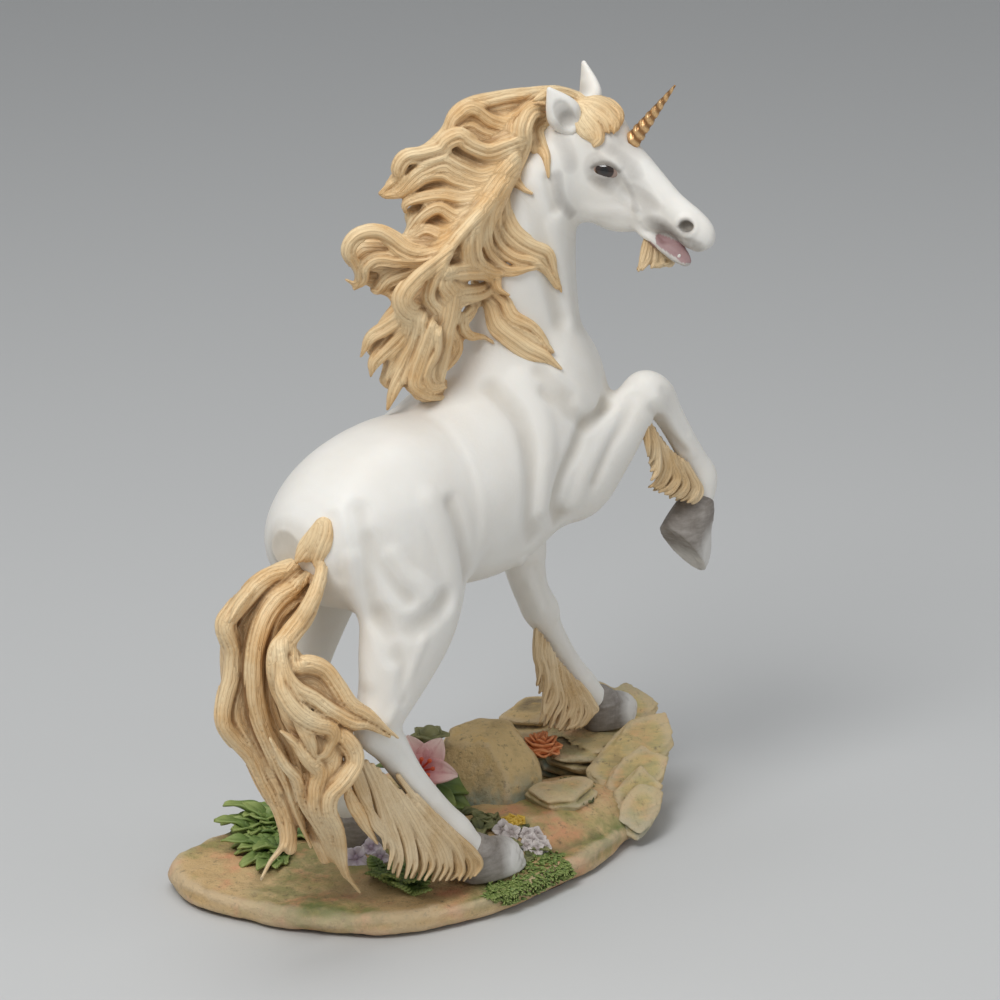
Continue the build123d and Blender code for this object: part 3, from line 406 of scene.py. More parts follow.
# Materials.
class Paint:
    """Builds a procedural material on one Principled shader."""

    def __init__(self, name):
        self.material = bpy.data.materials.new(name)
        self.material.use_nodes = True
        self.tree = self.material.node_tree
        self.shader = self.tree.nodes["Principled BSDF"]
        self.coords = self.tree.nodes.new("ShaderNodeTexCoord").outputs["Object"]

    def set(self, **values):
        for key, value in values.items():
            self.shader.inputs[key.replace("_", " ")].default_value = value

    def node(self, kind, links=None, **values):
        made = self.tree.nodes.new("ShaderNode" + kind)
        for key, value in values.items():
            setattr(made, key, value)
        for key, source in (links or {}).items():
            if isinstance(source, bpy.types.NodeSocket):
                self.tree.links.new(source, made.inputs[key])
            else:
                made.inputs[key].default_value = source
        return made

    def painted(self, name):
        """A number that a mesh carries at its corners."""
        return self.node("Attribute", attribute_name=name).outputs["Fac"]

    def grain(self, size, detail=4.0, rough=0.55, stretch=(1, 1, 1)):
        """Noise whose blobs are about size millimetres."""
        place = self.node("Mapping", {"Vector": self.coords, "Scale": stretch}).outputs[0]
        links = {"Vector": place, "Scale": 1000.0 / size, "Detail": detail, "Roughness": rough}
        return self.node("TexNoise", links).outputs["Fac"]

    def band(self, value, low, high, start=0.0, end=1.0):
        """A value between low and high, turned into one between start and end."""
        links = {"Value": value, "From Min": low, "From Max": high, "To Min": start, "To Max": end}
        return self.node("MapRange", links).outputs["Result"]

    def mix(self, share, first, second):
        made = self.node("Mix", data_type="RGBA")
        sockets = {s.identifier: s for s in made.inputs}
        for key, source in (("Factor_Float", share), ("A_Color", first), ("B_Color", second)):
            if isinstance(source, bpy.types.NodeSocket):
                self.tree.links.new(source, sockets[key])
            elif key == "Factor_Float":
                sockets[key].default_value = source
            else:
                sockets[key].default_value = (*source, 1)
        return next(s for s in made.outputs if s.identifier == "Result_Color")

    def math(self, how, first, second=0.0):
        made = self.node("Math", operation=how)
        for k, source in enumerate((first, second)):
            if isinstance(source, bpy.types.NodeSocket):
                self.tree.links.new(source, made.inputs[k])
            else:
                made.inputs[k].default_value = source
        return made.outputs[0]

    def times(self, first, second):
        return self.math("MULTIPLY", first, second)

    def plus(self, first, second):
        return self.math("ADD", first, second)

    def finish(self, colour, rough=None, height=None, strength=0.3, depth=0.4):
        self.tree.links.new(colour, self.shader.inputs["Base Color"])
        if rough is not None:
            self.tree.links.new(rough, self.shader.inputs["Roughness"])
        if height is not None:
            bump = self.node("Bump", {"Height": height, "Strength": strength, "Distance": depth * MM})
            self.tree.links.new(bump.outputs[0], self.shader.inputs["Normal"])
        return self.material


def coat_material():
    """Hand painted warm white resin with a thin grey-brown wash in the hollows."""
    p = Paint("ivory_resin")
    cloud = p.grain(26, 3)
    fine = p.grain(1.3, 5, 0.6)
    colour = p.mix(p.band(cloud, 0.35, 0.7), (0.82, 0.80, 0.75), (0.775, 0.745, 0.685))
    sunken = p.times(p.band(p.painted("hollow"), 0.0, -1.1), p.band(p.grain(5, 4), 0.2, 0.8, 0.6, 0.9))
    colour = p.mix(sunken, colour, (0.52, 0.47, 0.39))
    colour = p.mix(p.times(p.painted("shade"), p.band(p.grain(2.2, 5, 0.65), 0.25, 0.75, 0.75, 1.0)), colour,
                   (0.165, 0.14, 0.12))
    colour = p.mix(p.painted("flesh"), colour, (0.30, 0.13, 0.14))
    rough = p.band(p.plus(fine, cloud), 0.7, 1.3, 0.46, 0.60)
    height = p.plus(p.times(fine, 0.35), p.times(p.grain(7, 3), 0.9))
    p.set(Specular_IOR_Level=0.35, Subsurface_Weight=0.08, Subsurface_Scale=0.002)
    p.set(Subsurface_Radius=(1.0, 0.75, 0.5))
    return p.finish(colour, rough, height, 0.28, 0.5)


def hair_material(name, light, mid, dark, deep=0.9):
    """Wheat coloured hair: pale ridges, brown wash in the grooves, thin strokes along the strands."""
    p = Paint(name)
    cloud = p.grain(14, 4)
    fine = p.grain(1.1, 5, 0.65)
    colour = p.mix(p.band(cloud, 0.32, 0.68), light, mid)
    groove = p.times(p.band(p.painted("groove"), 0.18, 0.85), p.band(p.grain(6, 4), 0.2, 0.75, 0.45, 1.0))
    colour = p.mix(p.times(groove, deep), colour, dark)
    colour = p.mix(p.times(p.painted("under"), 0.85), colour, tuple(0.62 * c for c in dark))
    colour = p.mix(p.band(fine, 0.55, 0.8, 0.0, 0.35), colour, mid)
    rough = p.band(fine, 0.3, 0.7, 0.42, 0.58)
    wave = p.plus(p.painted("strand"), p.times(p.grain(7, 3), 1.6))
    strands = p.plus(p.math("SINE", p.times(wave, 4.4)), p.times(p.math("SINE", p.times(wave, 11.3)), 0.4))
    colour = p.mix(p.band(strands, -0.3, -1.3, 0.0, 0.24), colour, dark)
    colour = p.mix(p.band(strands, 0.5, 1.4, 0.0, 0.35), colour, light)
    height = p.plus(p.times(strands, 0.5), p.times(fine, 0.3))
    p.set(Specular_IOR_Level=0.35)
    return p.finish(colour, rough, height, 0.5, 0.4)


def hoof_material():
    """Grey horn with streaks down the wall and a pale dry-brushed face."""
    p = Paint("grey_hoof")
    along = p.grain(5, 4, 0.6, (1, 1, 3))
    colour = p.mix(p.band(along, 0.3, 0.7), (0.33, 0.30, 0.27), (0.19, 0.165, 0.14))
    colour = p.mix(p.band(p.painted("pale"), 0.10, 0.65), colour, (0.64, 0.62, 0.585))
    colour = p.mix(p.band(p.grain(3, 4, 0.6, (1, 1, 0.3)), 0.5, 0.7, 0.0, 0.35), colour, (0.16, 0.13, 0.11))
    rough = p.band(along, 0.3, 0.7, 0.42, 0.6)
    p.set(Specular_IOR_Level=0.4)
    return p.finish(colour, rough, p.grain(0.9, 5, 0.6, (1, 1, 0.25)), 0.5, 0.3)


def gold_material():
    """Antique gold paint, bright on the ridges and brown in the turns."""
    p = Paint("antique_gold")
    fine = p.grain(0.9, 5, 0.65)
    colour = p.mix(p.band(p.painted("groove"), 0.15, 0.85), (0.82, 0.54, 0.27), (0.36, 0.19, 0.08))
    colour = p.mix(p.band(fine, 0.5, 0.78, 0.0, 0.6), colour, (0.42, 0.2, 0.07))
    rough = p.band(fine, 0.3, 0.7, 0.28, 0.5)
    p.set(Metallic=0.85)
    return p.finish(colour, rough, fine, 0.5, 0.25)


def eye_material():
    """Dark gloss with a brown iris and a fleshy rim."""
    p = Paint("glossy_eye")
    ring = p.painted("iris")
    speck = p.grain(0.6, 3)
    colour = p.mix(p.band(ring, 0.36, 0.44), (0.003, 0.003, 0.0025), (0.022, 0.010, 0.006))
    colour = p.mix(p.band(speck, 0.45, 0.8, 0.0, 0.5), colour, (0.02, 0.012, 0.01))
    colour = p.mix(p.band(ring, 0.86, 0.97), colour, (0.30, 0.21, 0.17))
    p.set(Roughness=0.12, Specular_IOR_Level=0.6, Coat_Weight=0.6, Coat_Roughness=0.05)
    return p.finish(colour)


# The animal's body. Rows are x, y, z, half depth and half width, in millimetres.
SPINE_Y = -16
TORSO = [(x, SPINE_Y, z, deep, wide) for x, z, deep, wide in [
    (-86, 129, 7, 9), (-81.5, 133.5, 18, 19.5), (-67, 141.5, 24.5, 25), (-50, 143, 28.5, 28), (-28, 141.5, 31.5, 29),
    (-8, 145, 36, 29), (12, 154.5, 34, 26.5), (28, 159, 29, 21), (40, 158, 20, 12), (47, 157, 8, 5)]]
NECK = [(14, -16, 148, 20, 13), (15.5, -16, 168, 28, 17), (14.5, -16.5, 186, 24, 15), (14.5, -18, 208, 20.5, 12.2),
        (16, -21.5, 230, 16, 10.5),
        (21, -25, 246, 14, 10), (30, -27, 256, 11, 9)]
RAISED_FORE = [(20, -29, 150, 19, 11), (24, -33, 140, 15.5, 11), (34, -35.5, 147, 12.5, 9), (46, -37.5, 158, 8.8, 7.4),
               (54, -38, 165, 7.6, 7)]
RAISED_CANNON = [(52, -38, 164, 7.2, 6.6), (59, -38, 162.5, 7, 6.4), (65, -38, 155, 5.6, 5.2), (72, -38, 145, 5, 4.6),
                 (79, -38, 134.5, 5.2, 4.8), (83, -38, 127.5, 6.2, 5.6), (83, -38, 121, 5, 5), (81, -38, 117, 5.2, 5.4)]
STANDING_FORE = [(22, -3, 128, 14, 10), (29.5, -1, 108, 9.5, 8), (34.5, 0, 92, 7, 6.5), (38, 0, 84, 6.6, 6.2),
                 (41, 0, 79, 6.9, 6.4), (46.5, .5, 70, 5, 4.6), (57, 1.5, 54.5, 4.6, 4.4), (65, 2, 43.5, 5.8, 5.2),
                 (70, 2, 38, 5, 5), (74, 2, 34, 5.2, 5.4)]
RIGHT_HIND = [(-60, -30, 145, 24, 13), (-58, -35, 129, 24.5, 13), (-60, -38.5, 113, 21, 11.5),
              (-68, -40.5, 98, 16, 9.5),
              (-75, -41.5, 86, 11, 7.6), (-79.5, -42, 79, 9, 6.6), (-73, -42, 69.5, 6.6, 5.4), (-63, -42, 55, 5.2, 4.8),
              (-50, -42, 39, 5.2, 4.8), (-43, -42, 30.5, 6.3, 5.6), (-37, -42, 24, 5.2, 5.3),
              (-33, -42, 20.5, 5.3, 5.5)]
LEFT_HIND = [(-60, -3, 136, 20, 12), (-58, 2, 122, 19, 12), (-61, 5, 107, 15, 10), (-65, 7, 90, 11, 8),
             (-68, 8, 74.5, 8.4, 6.4), (-61.5, 8, 65, 6.4, 5.4), (-54, 8.5, 50, 5.2, 4.8), (-48, 9, 36, 5.2, 4.8),
             (-44.5, 9, 28, 6.3, 5.6), (-41.5, 9, 21.5, 5.3, 5.4)]

body = Clay((-95, -56, 14), (94, 24, 274), 0.85 * COARSE)
body.add(TORSO, 0, blunt=0.6)
body.add(NECK, 16)
body.oval((31, -17, 160), (14, 12, 21), 8)
body.oval((19, -28, 166), (16, 10.5, 26), 7)
body.oval((20, -6, 160), (16, 11, 26), 8)
body.add(STANDING_FORE, 9)
body.add(RAISED_FORE, 7)
body.add(RAISED_CANNON, 3)
body.oval((-58, -29, 138), (27, 12.5, 25), 15)
body.oval((-72, -14, 132), (17.5, 21, 19.5), 6)
body.oval((-61, -2, 132), (22, 14.5, 21), 11)
body.add(RIGHT_HIND, 7)
body.add(LEFT_HIND, 6)
body.soften(4)
# Muscles and folds of the near side, placed over the photograph; a negative amount sinks.
for radius, amount, marks in [
        (4.6, -2.2, [(605, 404), (594, 416), (583, 430), (575, 449), (567, 466), (560, 485), (556, 505), (560, 518)]),
        (5.5, 1.1, [(628, 392), (612, 418), (596, 446), (584, 475), (575, 502)]),
        (3.4, -0.9, [(633, 398), (622, 424), (607, 452), (594, 482)]),
        (6.0, -1.5, [(493, 388), (512, 408), (524, 428), (531, 462), (532, 495), (530, 520), (534, 536)]),
        (6.0, 0.9, [(520, 380), (540, 410), (548, 445), (545, 480), (541, 510)]),
        (4.5, -1.3, [(545, 392), (560, 400), (574, 414), (584, 424)]),
        (5.0, 1.0, [(560, 372), (580, 388), (595, 402)]),
        (4.6, -1.0, [(540, 372), (556, 382), (570, 396)]),
        (5.5, -1.9, [(452, 505), (460, 525), (465, 550), (467, 575), (468, 592)]),
        (6.5, 1.2, [(430, 500), (440, 530), (450, 560), (455, 590), (452, 612)]),
        (6.5, -1.9, [(380, 618), (396, 630), (414, 628), (432, 616), (446, 600)]),
        (5.0, 1.6, [(392, 556), (404, 574), (418, 584), (428, 594)]),
        (5.0, -1.3, [(372, 540), (382, 560), (394, 582), (408, 600)]),
        (5.5, -1.6, [(360, 512), (364, 545), (367, 575), (374, 605), (384, 634), (392, 656)]),
        (5.0, 1.2, [(352, 560), (356, 600), (362, 640), (366, 680)]),
        (4.0, -1.2, [(400, 650), (404, 676), (402, 700)]),
        (3.0, 0.9, [(424, 640), (412, 668), (400, 696), (388, 722)]),
        (4.5, -0.9, [(330, 520), (336, 545), (340, 575)]),
        (2.8, -1.1, [(651, 408), (660, 424), (672, 440), (684, 452)]),
        (2.4, 0.8, [(655, 396), (668, 414), (682, 436), (694, 454)]),
        (2.4, -0.8, [(664, 390), (676, 410), (688, 432)]),
        (3.0, 1.0, [(520, 560), (530, 586), (540, 606)]),
        (2.6, -1.0, [(535, 566), (541, 590), (546, 606)]),
        (2.6, 0.9, [(553, 590), (556, 604), (558, 616)]),
        (2.2, -0.8, [(560, 618), (570, 640), (580, 662), (588, 676)]),
        (2.2, -0.9, [(398, 748), (416, 772), (436, 798)]),
        (2.4, 0.8, [(404, 742), (424, 768), (446, 796)]),
        (6.0, -1.1, [(530, 200), (540, 240), (552, 285), (560, 320)]),
        (6.0, 0.9, [(556, 225), (562, 270), (570, 320)]),
        (3.5, -1.4, [(548, 180), (551, 196), (556, 208)])]:
    spots = body.touch(marks)
    body.trace(spots[~np.isnan(spots[:, 0])], radius, amount * 0.85)
body.soften(1)

coat = coat_material()
hoof_paint = hoof_material()
gold = gold_material()
eye_paint = eye_material()

# The head has its own frame: along the nose, across to the left side, and up from the brow.
POLL = np.array([31.0, -24.0, 269.6])
HEAD = np.array([[.266, -.734, -.625], [.9316, .3624, -.029], [.248, -.574, .780]])
HEAD = np.array([unit(HEAD[0]), unit(HEAD[1] - HEAD[0] * (HEAD[0] @ HEAD[1])), [0, 0, 0]])
HEAD[2] = np.cross(HEAD[0], HEAD[1])
head = Clay((-27, -31, -56), (72, 31, 16), 0.48 * COARSE, POLL, HEAD)
skull = [(-3, 0, -10, 7, 7), (4, 0, -7, 10, 8.8), (14, 0, -4.4, 12.0, 9.6), (22, 0, -5.4, 10.5, 9.0),
         (30, 0, -5.4, 9.7, 7.8), (38, 0, -5.5, 9.0, 6.6), (46, 0, -5.1, 7.8, 5.6), (52, 0, -4.0, 6.5, 5.1),
         (58, 0, -3.4, 6.3, 5.4), (63, 0, -3.6, 5.9, 5.0), (66, 0, -4.8, 4.2, 3.7)]
head.add(skull, 0, blunt=0.55)
head.oval((22, -5.2, -14.2), (13.5, 5.0, 13.6), 4)
head.add([(26, 0, -17, 10.5, 7.0), (34, 0, -16.5, 9.4, 6.6), (40, 0, -13.5, 7.6, 5.6), (46, 0, -10.5, 5.2, 4.8)], 5)


def middle_of_head(column, row):
    """The point of a pixel's ray on the plane between the two halves of the head, in the head's frame."""
    ray = sight(column, row)
    return head.inside([EYE + ray * (((POLL - EYE) @ HEAD[1]) / (ray @ HEAD[1]))])[0]


head.groove([(*middle_of_head(c, r), d, 8) for c, r, d in
             [(657, 245, 0.7), (664, 246, 1.3), (674, 249.5, 2.2), (686, 256, 3.0), (700, 262, 3.4),
              (716, 268, 3.6)]], 0.8)
head.add([(43, 0, -12.0, 4.4, 4.4)] + [(*middle_of_head(c, r), d, w) for c, r, d, w in
         [(645, 229, 2.4, 4.3), (655, 237, 2.0, 4.1), (665, 246.5, 1.8, 3.9), (676, 256, 1.7, 3.5),
          (686, 262, 1.4, 2.8)]], 1.2)
head.add([(*middle_of_head(c, r), d, w) for c, r, d, w in
          [(656, 242, 1.4, 3.0), (666, 246, 2.3, 3.0), (676, 251, 2.4, 2.7), (684, 256.5, 1.4, 2.0)]], 0.6)
head.oval(middle_of_head(672, 247.5), (8.5, 1.5, 3.4), 0.5)
head.press((17, -9, -2), (9, 5, 5), 0.5)
head.press((24, -9.5, -1.5), (7, 4, 3), 0.9)
head.press((35, -9, -7), (10, 5, 4), -0.7)
head.press((47, -7, -4.5), (9, 4, 3), -0.6)
head.trace([(26, -9, -8.6), (34, -8, -9.3), (42, -7, -9.6)], 2.6, 0.55)
head.trace([(48, -6.6, -9.6), (52, -6, -10.6), (56.4, -5.5, -12.4)], 1.6, -0.5)
head.trace([(51, -6, -8), (56, -6.2, -8.2), (62, -5.6, -7.8), (66, -4, -8.6)], 1.9, 0.35)


def brow(pixels, radius, amount):
    """Raises or sinks a line of the face along the photograph's pixels."""
    head.trace(head.touch(pixels), radius, amount)


# The near side of the face is worked at the photograph's places, then copied to the far side.
nostril = head.touch([(686, 226.5)])[0]
head.press(nostril, (4.4, 3.6, 4.0), 0.75)
nostril_out = head.slope([nostril])[0]
slant = unit(np.array([0.75, 0.0, 0.65]))
head.oval(nostril - nostril_out * 0.4, (2.9, 2.0, 3.2), 0.7,
          [slant, np.cross(slant, nostril_out), nostril_out], cutting=True)
brow([(677, 224), (680, 218.5), (687, 216.5), (693, 220), (696, 227), (693, 234), (686, 236)], 1.5, 0.75)
brow([(664, 239), (675, 237), (688, 241), (699, 245)], 1.5, -0.3)
eye_seat = head.touch([(604.8, 170.3)])[0]
eye_out = head.slope([eye_seat])[0]
eye_long = unit(head.touch([(617.5, 171.3)])[0] - head.touch([(592.5, 166.5)])[0])
eye_high = unit(np.cross(eye_out, eye_long))
head.press(eye_seat, (8.5, 5.5, 7), 0.55)
brow([(589, 165.5), (595, 161), (604, 158.6), (612, 161), (618.5, 167)], 2.2, 0.75)
brow([(596, 154.5), (604, 152.3), (613, 154)], 1.8, -0.28)
brow([(592, 180), (600, 184.5), (609, 184), (617, 179)], 2.4, -0.42)
eye_cut = eye_seat + eye_out * 0.9
head.oval(eye_cut, (5.4, 1.9, 2.6), 0.6, [eye_long, eye_high, eye_out], cutting=True)
brow([(592.5, 166.6), (597.5, 163.6), (605, 162.6), (612.5, 165.0), (618, 170.8)], 1.35, 0.95)
brow([(592.5, 168.2), (597, 173.5), (604.5, 177.0), (612, 176.0), (618, 171.6)], 1.0, 0.5)
brow([(618, 171), (624, 178), (630, 187), (634, 197), (636, 210), (639, 220)], 1.25, 0.42)
brow([(628, 184), (634, 183), (645, 189), (655, 196), (663, 205)], 1.2, 0.3)
brow([(572, 172), (570, 185), (573, 200)], 3.0, -0.3)
brow([(586, 205), (600, 211), (622, 211), (640, 216)], 3.5, 0.3)
brow([(571, 214), (563.5, 205), (558.5, 192), (557, 176), (559, 160)], 2.2, -0.75)
brow([(576, 210), (568.5, 200), (564.5, 188), (564, 176)], 2.2, 0.35)
middle = int(round(-head.low[1] / head.step))
side = min(middle, head.count[1] - 1 - middle)
head.d[:, middle:middle + side + 1] = head.d[:, middle - side:middle + 1][:, ::-1]


def grid_points(clay, cut=None):
    """Every point of a field, or of a part of it, in the figure's frame."""
    spots = clay.ticks()
    if cut:
        spots = [spot[part] for spot, part in zip(spots, cut)]
    return clay.outside(np.stack(np.meshgrid(*spots, indexing="ij"), -1).reshape(-1, 3))


# Head and neck run into each other; both fields take the same joined form near their seam.
throat, _ = body.window((-12, -52, 216), (64, 12, 274))
joined = melt(body.d[throat], head.at(head.inside(grid_points(body, throat))).reshape(body.d[throat].shape), 6)
head.d = melt(head.d, body.at(grid_points(head)).reshape(head.d.shape), 6).astype(np.float32)
body.d[throat] = joined
body_hollow = body.hollow(3.2)
head.soften(1)
head_hollow = head.hollow(1.8)
SEAM, SEAM_OUT = np.array([19, -22, 234.0]), unit(np.array([0.50, -0.50, 0.71]))
cut_head = keep_side(head, head.inside([SEAM])[0], -(HEAD @ SEAM_OUT))
points, quads = cut_head.skin()
world = head.outside(points)
near = points.copy()
near[:, 1] = -np.abs(near[:, 1])


def fade(points, centre, reach):
    """A soft oval spot of paint."""
    q = (((points - np.asarray(centre)) / np.asarray(reach)) ** 2).sum(1)
    return np.clip(1 - q, 0, 1)


def painted_line(points, pixels, radius):
    """A soft painted line along the photograph's pixels on the head."""
    spots = head.touch(pixels)
    spots = spline(spots[~np.isnan(spots[:, 0])], 6)
    reach = np.full(len(points), 99.0)
    for spot in spots:
        reach = np.minimum(reach, ((points - spot) ** 2).sum(1))
    return np.clip(1 - reach / radius**2, 0, 1)


tongue = spline(np.array([middle_of_head(c, r) for c, r in [(656, 240), (664, 243), (673, 247),
                                                            (681, 251), (686, 255)]]), 5)
reach = np.min([((points - spot) ** 2 * (1, 0.6, 1)).sum(1) for spot in tongue], axis=0)
flesh = reach < 3.0**2
muzzle = np.clip((points[:, 0] - 50) / 9, 0, 1) * np.clip(0.45 - (points[:, 2] + 4) * 0.09, 0.15, 1) * 0.45
shade = np.maximum.reduce([muzzle, fade(near, eye_seat - eye_high * 1.2, (9.5, 5, 6.6)) * 0.80,
                           fade(near, nostril - nostril_out, (3.8, 3.6, 3.6)) * 1.15,
                           painted_line(near, [(592, 167.5), (598, 163.5), (605, 162.5), (612, 165),
                                               (619, 171.5)], 1.3) * 0.9,
                           painted_line(near, [(594, 170), (600, 176), (606, 178.5), (613, 177),
                                               (618, 173)], 1.2) * 0.5,
                           painted_line(near, [(619, 172), (626, 181), (632, 192), (636, 208)], 2.0) * 0.5,
                           painted_line(near, [(655, 247), (662, 242.5), (672, 242), (684, 246.5),
                                               (697, 252)], 1.7) * 0.75,
                           painted_line(near, [(560, 138), (566, 150), (570, 165)], 3.5) * 0.3,
                           fade(near, (57, -5, -9), (13, 6, 4.6)) * 1.0,
                           painted_line(near, [(664, 238), (676, 240), (688, 243), (697, 247)], 3.4) * 0.7,
                           painted_line(near, [(612, 150), (622, 156), (630, 166), (634, 176)], 4.0) * 0.42,
                           painted_line(near, [(571, 214), (563.5, 205), (558.5, 192), (557, 176)], 2.6) * 0.45,
                           painted_line(near, [(630, 180), (640, 192), (648, 205)], 4.5) * 0.35, flesh * 0.35,
                           fade(near, (24, -5, 4), (9, 7, 5)) * 0.35, fade(near, (33, -8, -8), (12, 4, 3)) * 0.35,
                           fade(near, (-4, -9, -12), (6, 6, 12)) * 0.45])
piece("coat_head", world, quads, ["head", "lower_jaw"], coat,
      {"hollow": head.at(points, head_hollow) * 1.4, "shade": shade, "flesh": flesh * 0.72})

for name, side in (("near", 1.0), ("far", -1.0)):
    flip = np.array([1, side, 1])
    centre = (eye_seat - eye_out * 1.45) * flip
    frame_axes = np.array([eye_long * flip, eye_high * flip, eye_out * flip])
    rings, around = 24, 40
    ball = globe((5.4, 3.2, 2.5), rings, around)
    faces = ring_faces(rings + 1, around)
    if side > 0:
        faces = faces[:, ::-1]
    piece("eye_" + name, head.outside(centre + ball @ frame_axes), faces, ["eyes"] if name == "near" else (),
          eye_paint, {"iris": np.hypot(ball[:, 0] / 3.5, ball[:, 1] / 3.0)})

# Body mesh, cut under the head's seam.
points, quads = keep_side(body, SEAM, SEAM_OUT).skin()
piece("coat_body", points, quads,
      ["torso", "neck", "right_forearm", "right_fore_cannon", "left_forearm", "left_fore_cannon", "right_thigh",
       "right_hind_cannon", "left_thigh", "left_hind_cannon"], coat,
      {"hollow": body.at(points, body_hollow)})


def hoof_piece(name, coronet, sole, toe, up, width, node):
    """A hoof: a flared wall from the coronet down to a flat sole."""
    coronet, sole = np.array(coronet, float), np.array(sole, float)
    up = unit(np.array(up, float))
    ahead = np.array(toe, float)
    ahead = unit(ahead - up * (ahead @ up))
    cross = np.cross(up, ahead)
    height = (coronet - sole) @ up
    clay = Clay((-20, -13, -3), (21, 13, height + 6), 0.5 * COARSE, sole, np.array([ahead, cross, up]))
    top = clay.inside([coronet])[0]
    rows = [(1.4, -4, 1.56, 0.80), (1.2, 0, 1.46, 0.78), (top[0] * 0.6 + 0.5, height * 0.5, 1.10, 0.72),
            (top[0], height, 0.76, 0.68), (top[0] * 1.15, height + 3, 0.55, 0.58)]
    clay.add([(x, 0, z, width * deep, width * wide) for x, z, deep, wide in rows], 0, blunt=0.5)
    rim = [(top[0] + math.cos(a) * width * 0.78, math.sin(a) * width * 0.74, height - 0.6)
           for a in np.linspace(0, 6.283, 13)]
    clay.trace(rim, 1.2, 0.35)
    clay.groove([(-width * 1.3, 0, -2, 2.2, 2.6), (-width * 0.5, 0, -0.5, 1.2, 1.6)], 1.0)
    clay.d = np.maximum(clay.d, -clay.ticks()[2]).astype(np.float32)
    points, quads = clay.skin()
    front = np.clip(points[:, 0] / width + 0.25, 0, 1)
    pale = np.clip(1.15 - np.abs(points[:, 2] / height - 0.45) * 1.2, 0, 1) * front
    piece(name, clay.outside(points), quads, [node], hoof_paint, {"pale": pale})


hoof_piece("hoof_right_hind", (-34, -42, 21), (-26, -42, 10), (1, 0, 0), (0, 0, 1), 9.4, "right_hind_hoof")
hoof_piece("hoof_left_hind", (-42, 9, 21.5), (-35, 9, 10), (1, 0, 0), (0, 0, 1), 9.2, "left_hind_hoof")
hoof_piece("hoof_standing", (73.5, 2, 35.5), (79, 2, 25), (1, 0, 0), (0, 0, 1), 9.0, "left_fore_hoof")
hoof_piece("hoof_raised", (80.5, -38, 117), (72.5, -38, 104.5), (0.66, 0, -0.75), (0.66, 0, 0.58),
           9.6, "right_fore_hoof")

# The horn: a tapering cone wound with rounded ridges.
horn_foot = POLL + np.array([25.1, 0, -2.4]) @ HEAD
horn_tip = POLL + np.array([23.8, 0, 29.9]) @ HEAD
axis = unit(horn_tip - horn_foot)
first = unit(np.cross(axis, [0, 1, 0.3]))
second = np.cross(axis, first)
rows, groove = [], []
steps, around = 260, 48
length = np.linalg.norm(horn_tip - horn_foot)
for i in range(steps + 1):
    s = i / steps
    for j in range(around):
        turn = 2 * math.pi * j / around
        wave = 0.5 + 0.5 * math.cos(2 * math.pi * 10.5 * s ** 0.92 + turn)
        knob = 0.06 * math.sin(turn * 7 + s * 60) * math.sin(s * 95 + turn * 2)
        radius = (3.3 * (1 - s) ** 0.9 + 0.3) * (0.86 + 0.16 * wave ** 0.6 + knob)
        if i == steps:
            radius = 0.05
        rows.append(horn_foot + axis * length * s + (first * math.cos(turn) + second * math.sin(turn)) * radius)
        groove.append(1 - wave)
piece("horn_gold", np.array(rows), ring_faces(steps + 1, around), ["horn"], gold, {"groove": groove})


# Hair. Each stroke is drawn over the photograph and laid on the body or in a layer beside it.
TOWARD = -FORWARD
# Y of a mark that misses the form that its lock lies on.
BESIDE = -27.0
# Corner and zoom of the enlarged views in which the marks were set.
MANE_VIEW, BEARD_VIEW, TAIL_VIEW = ((340, 60), 4.125), ((520, 50), 6.53), ((200, 500), 3.732)


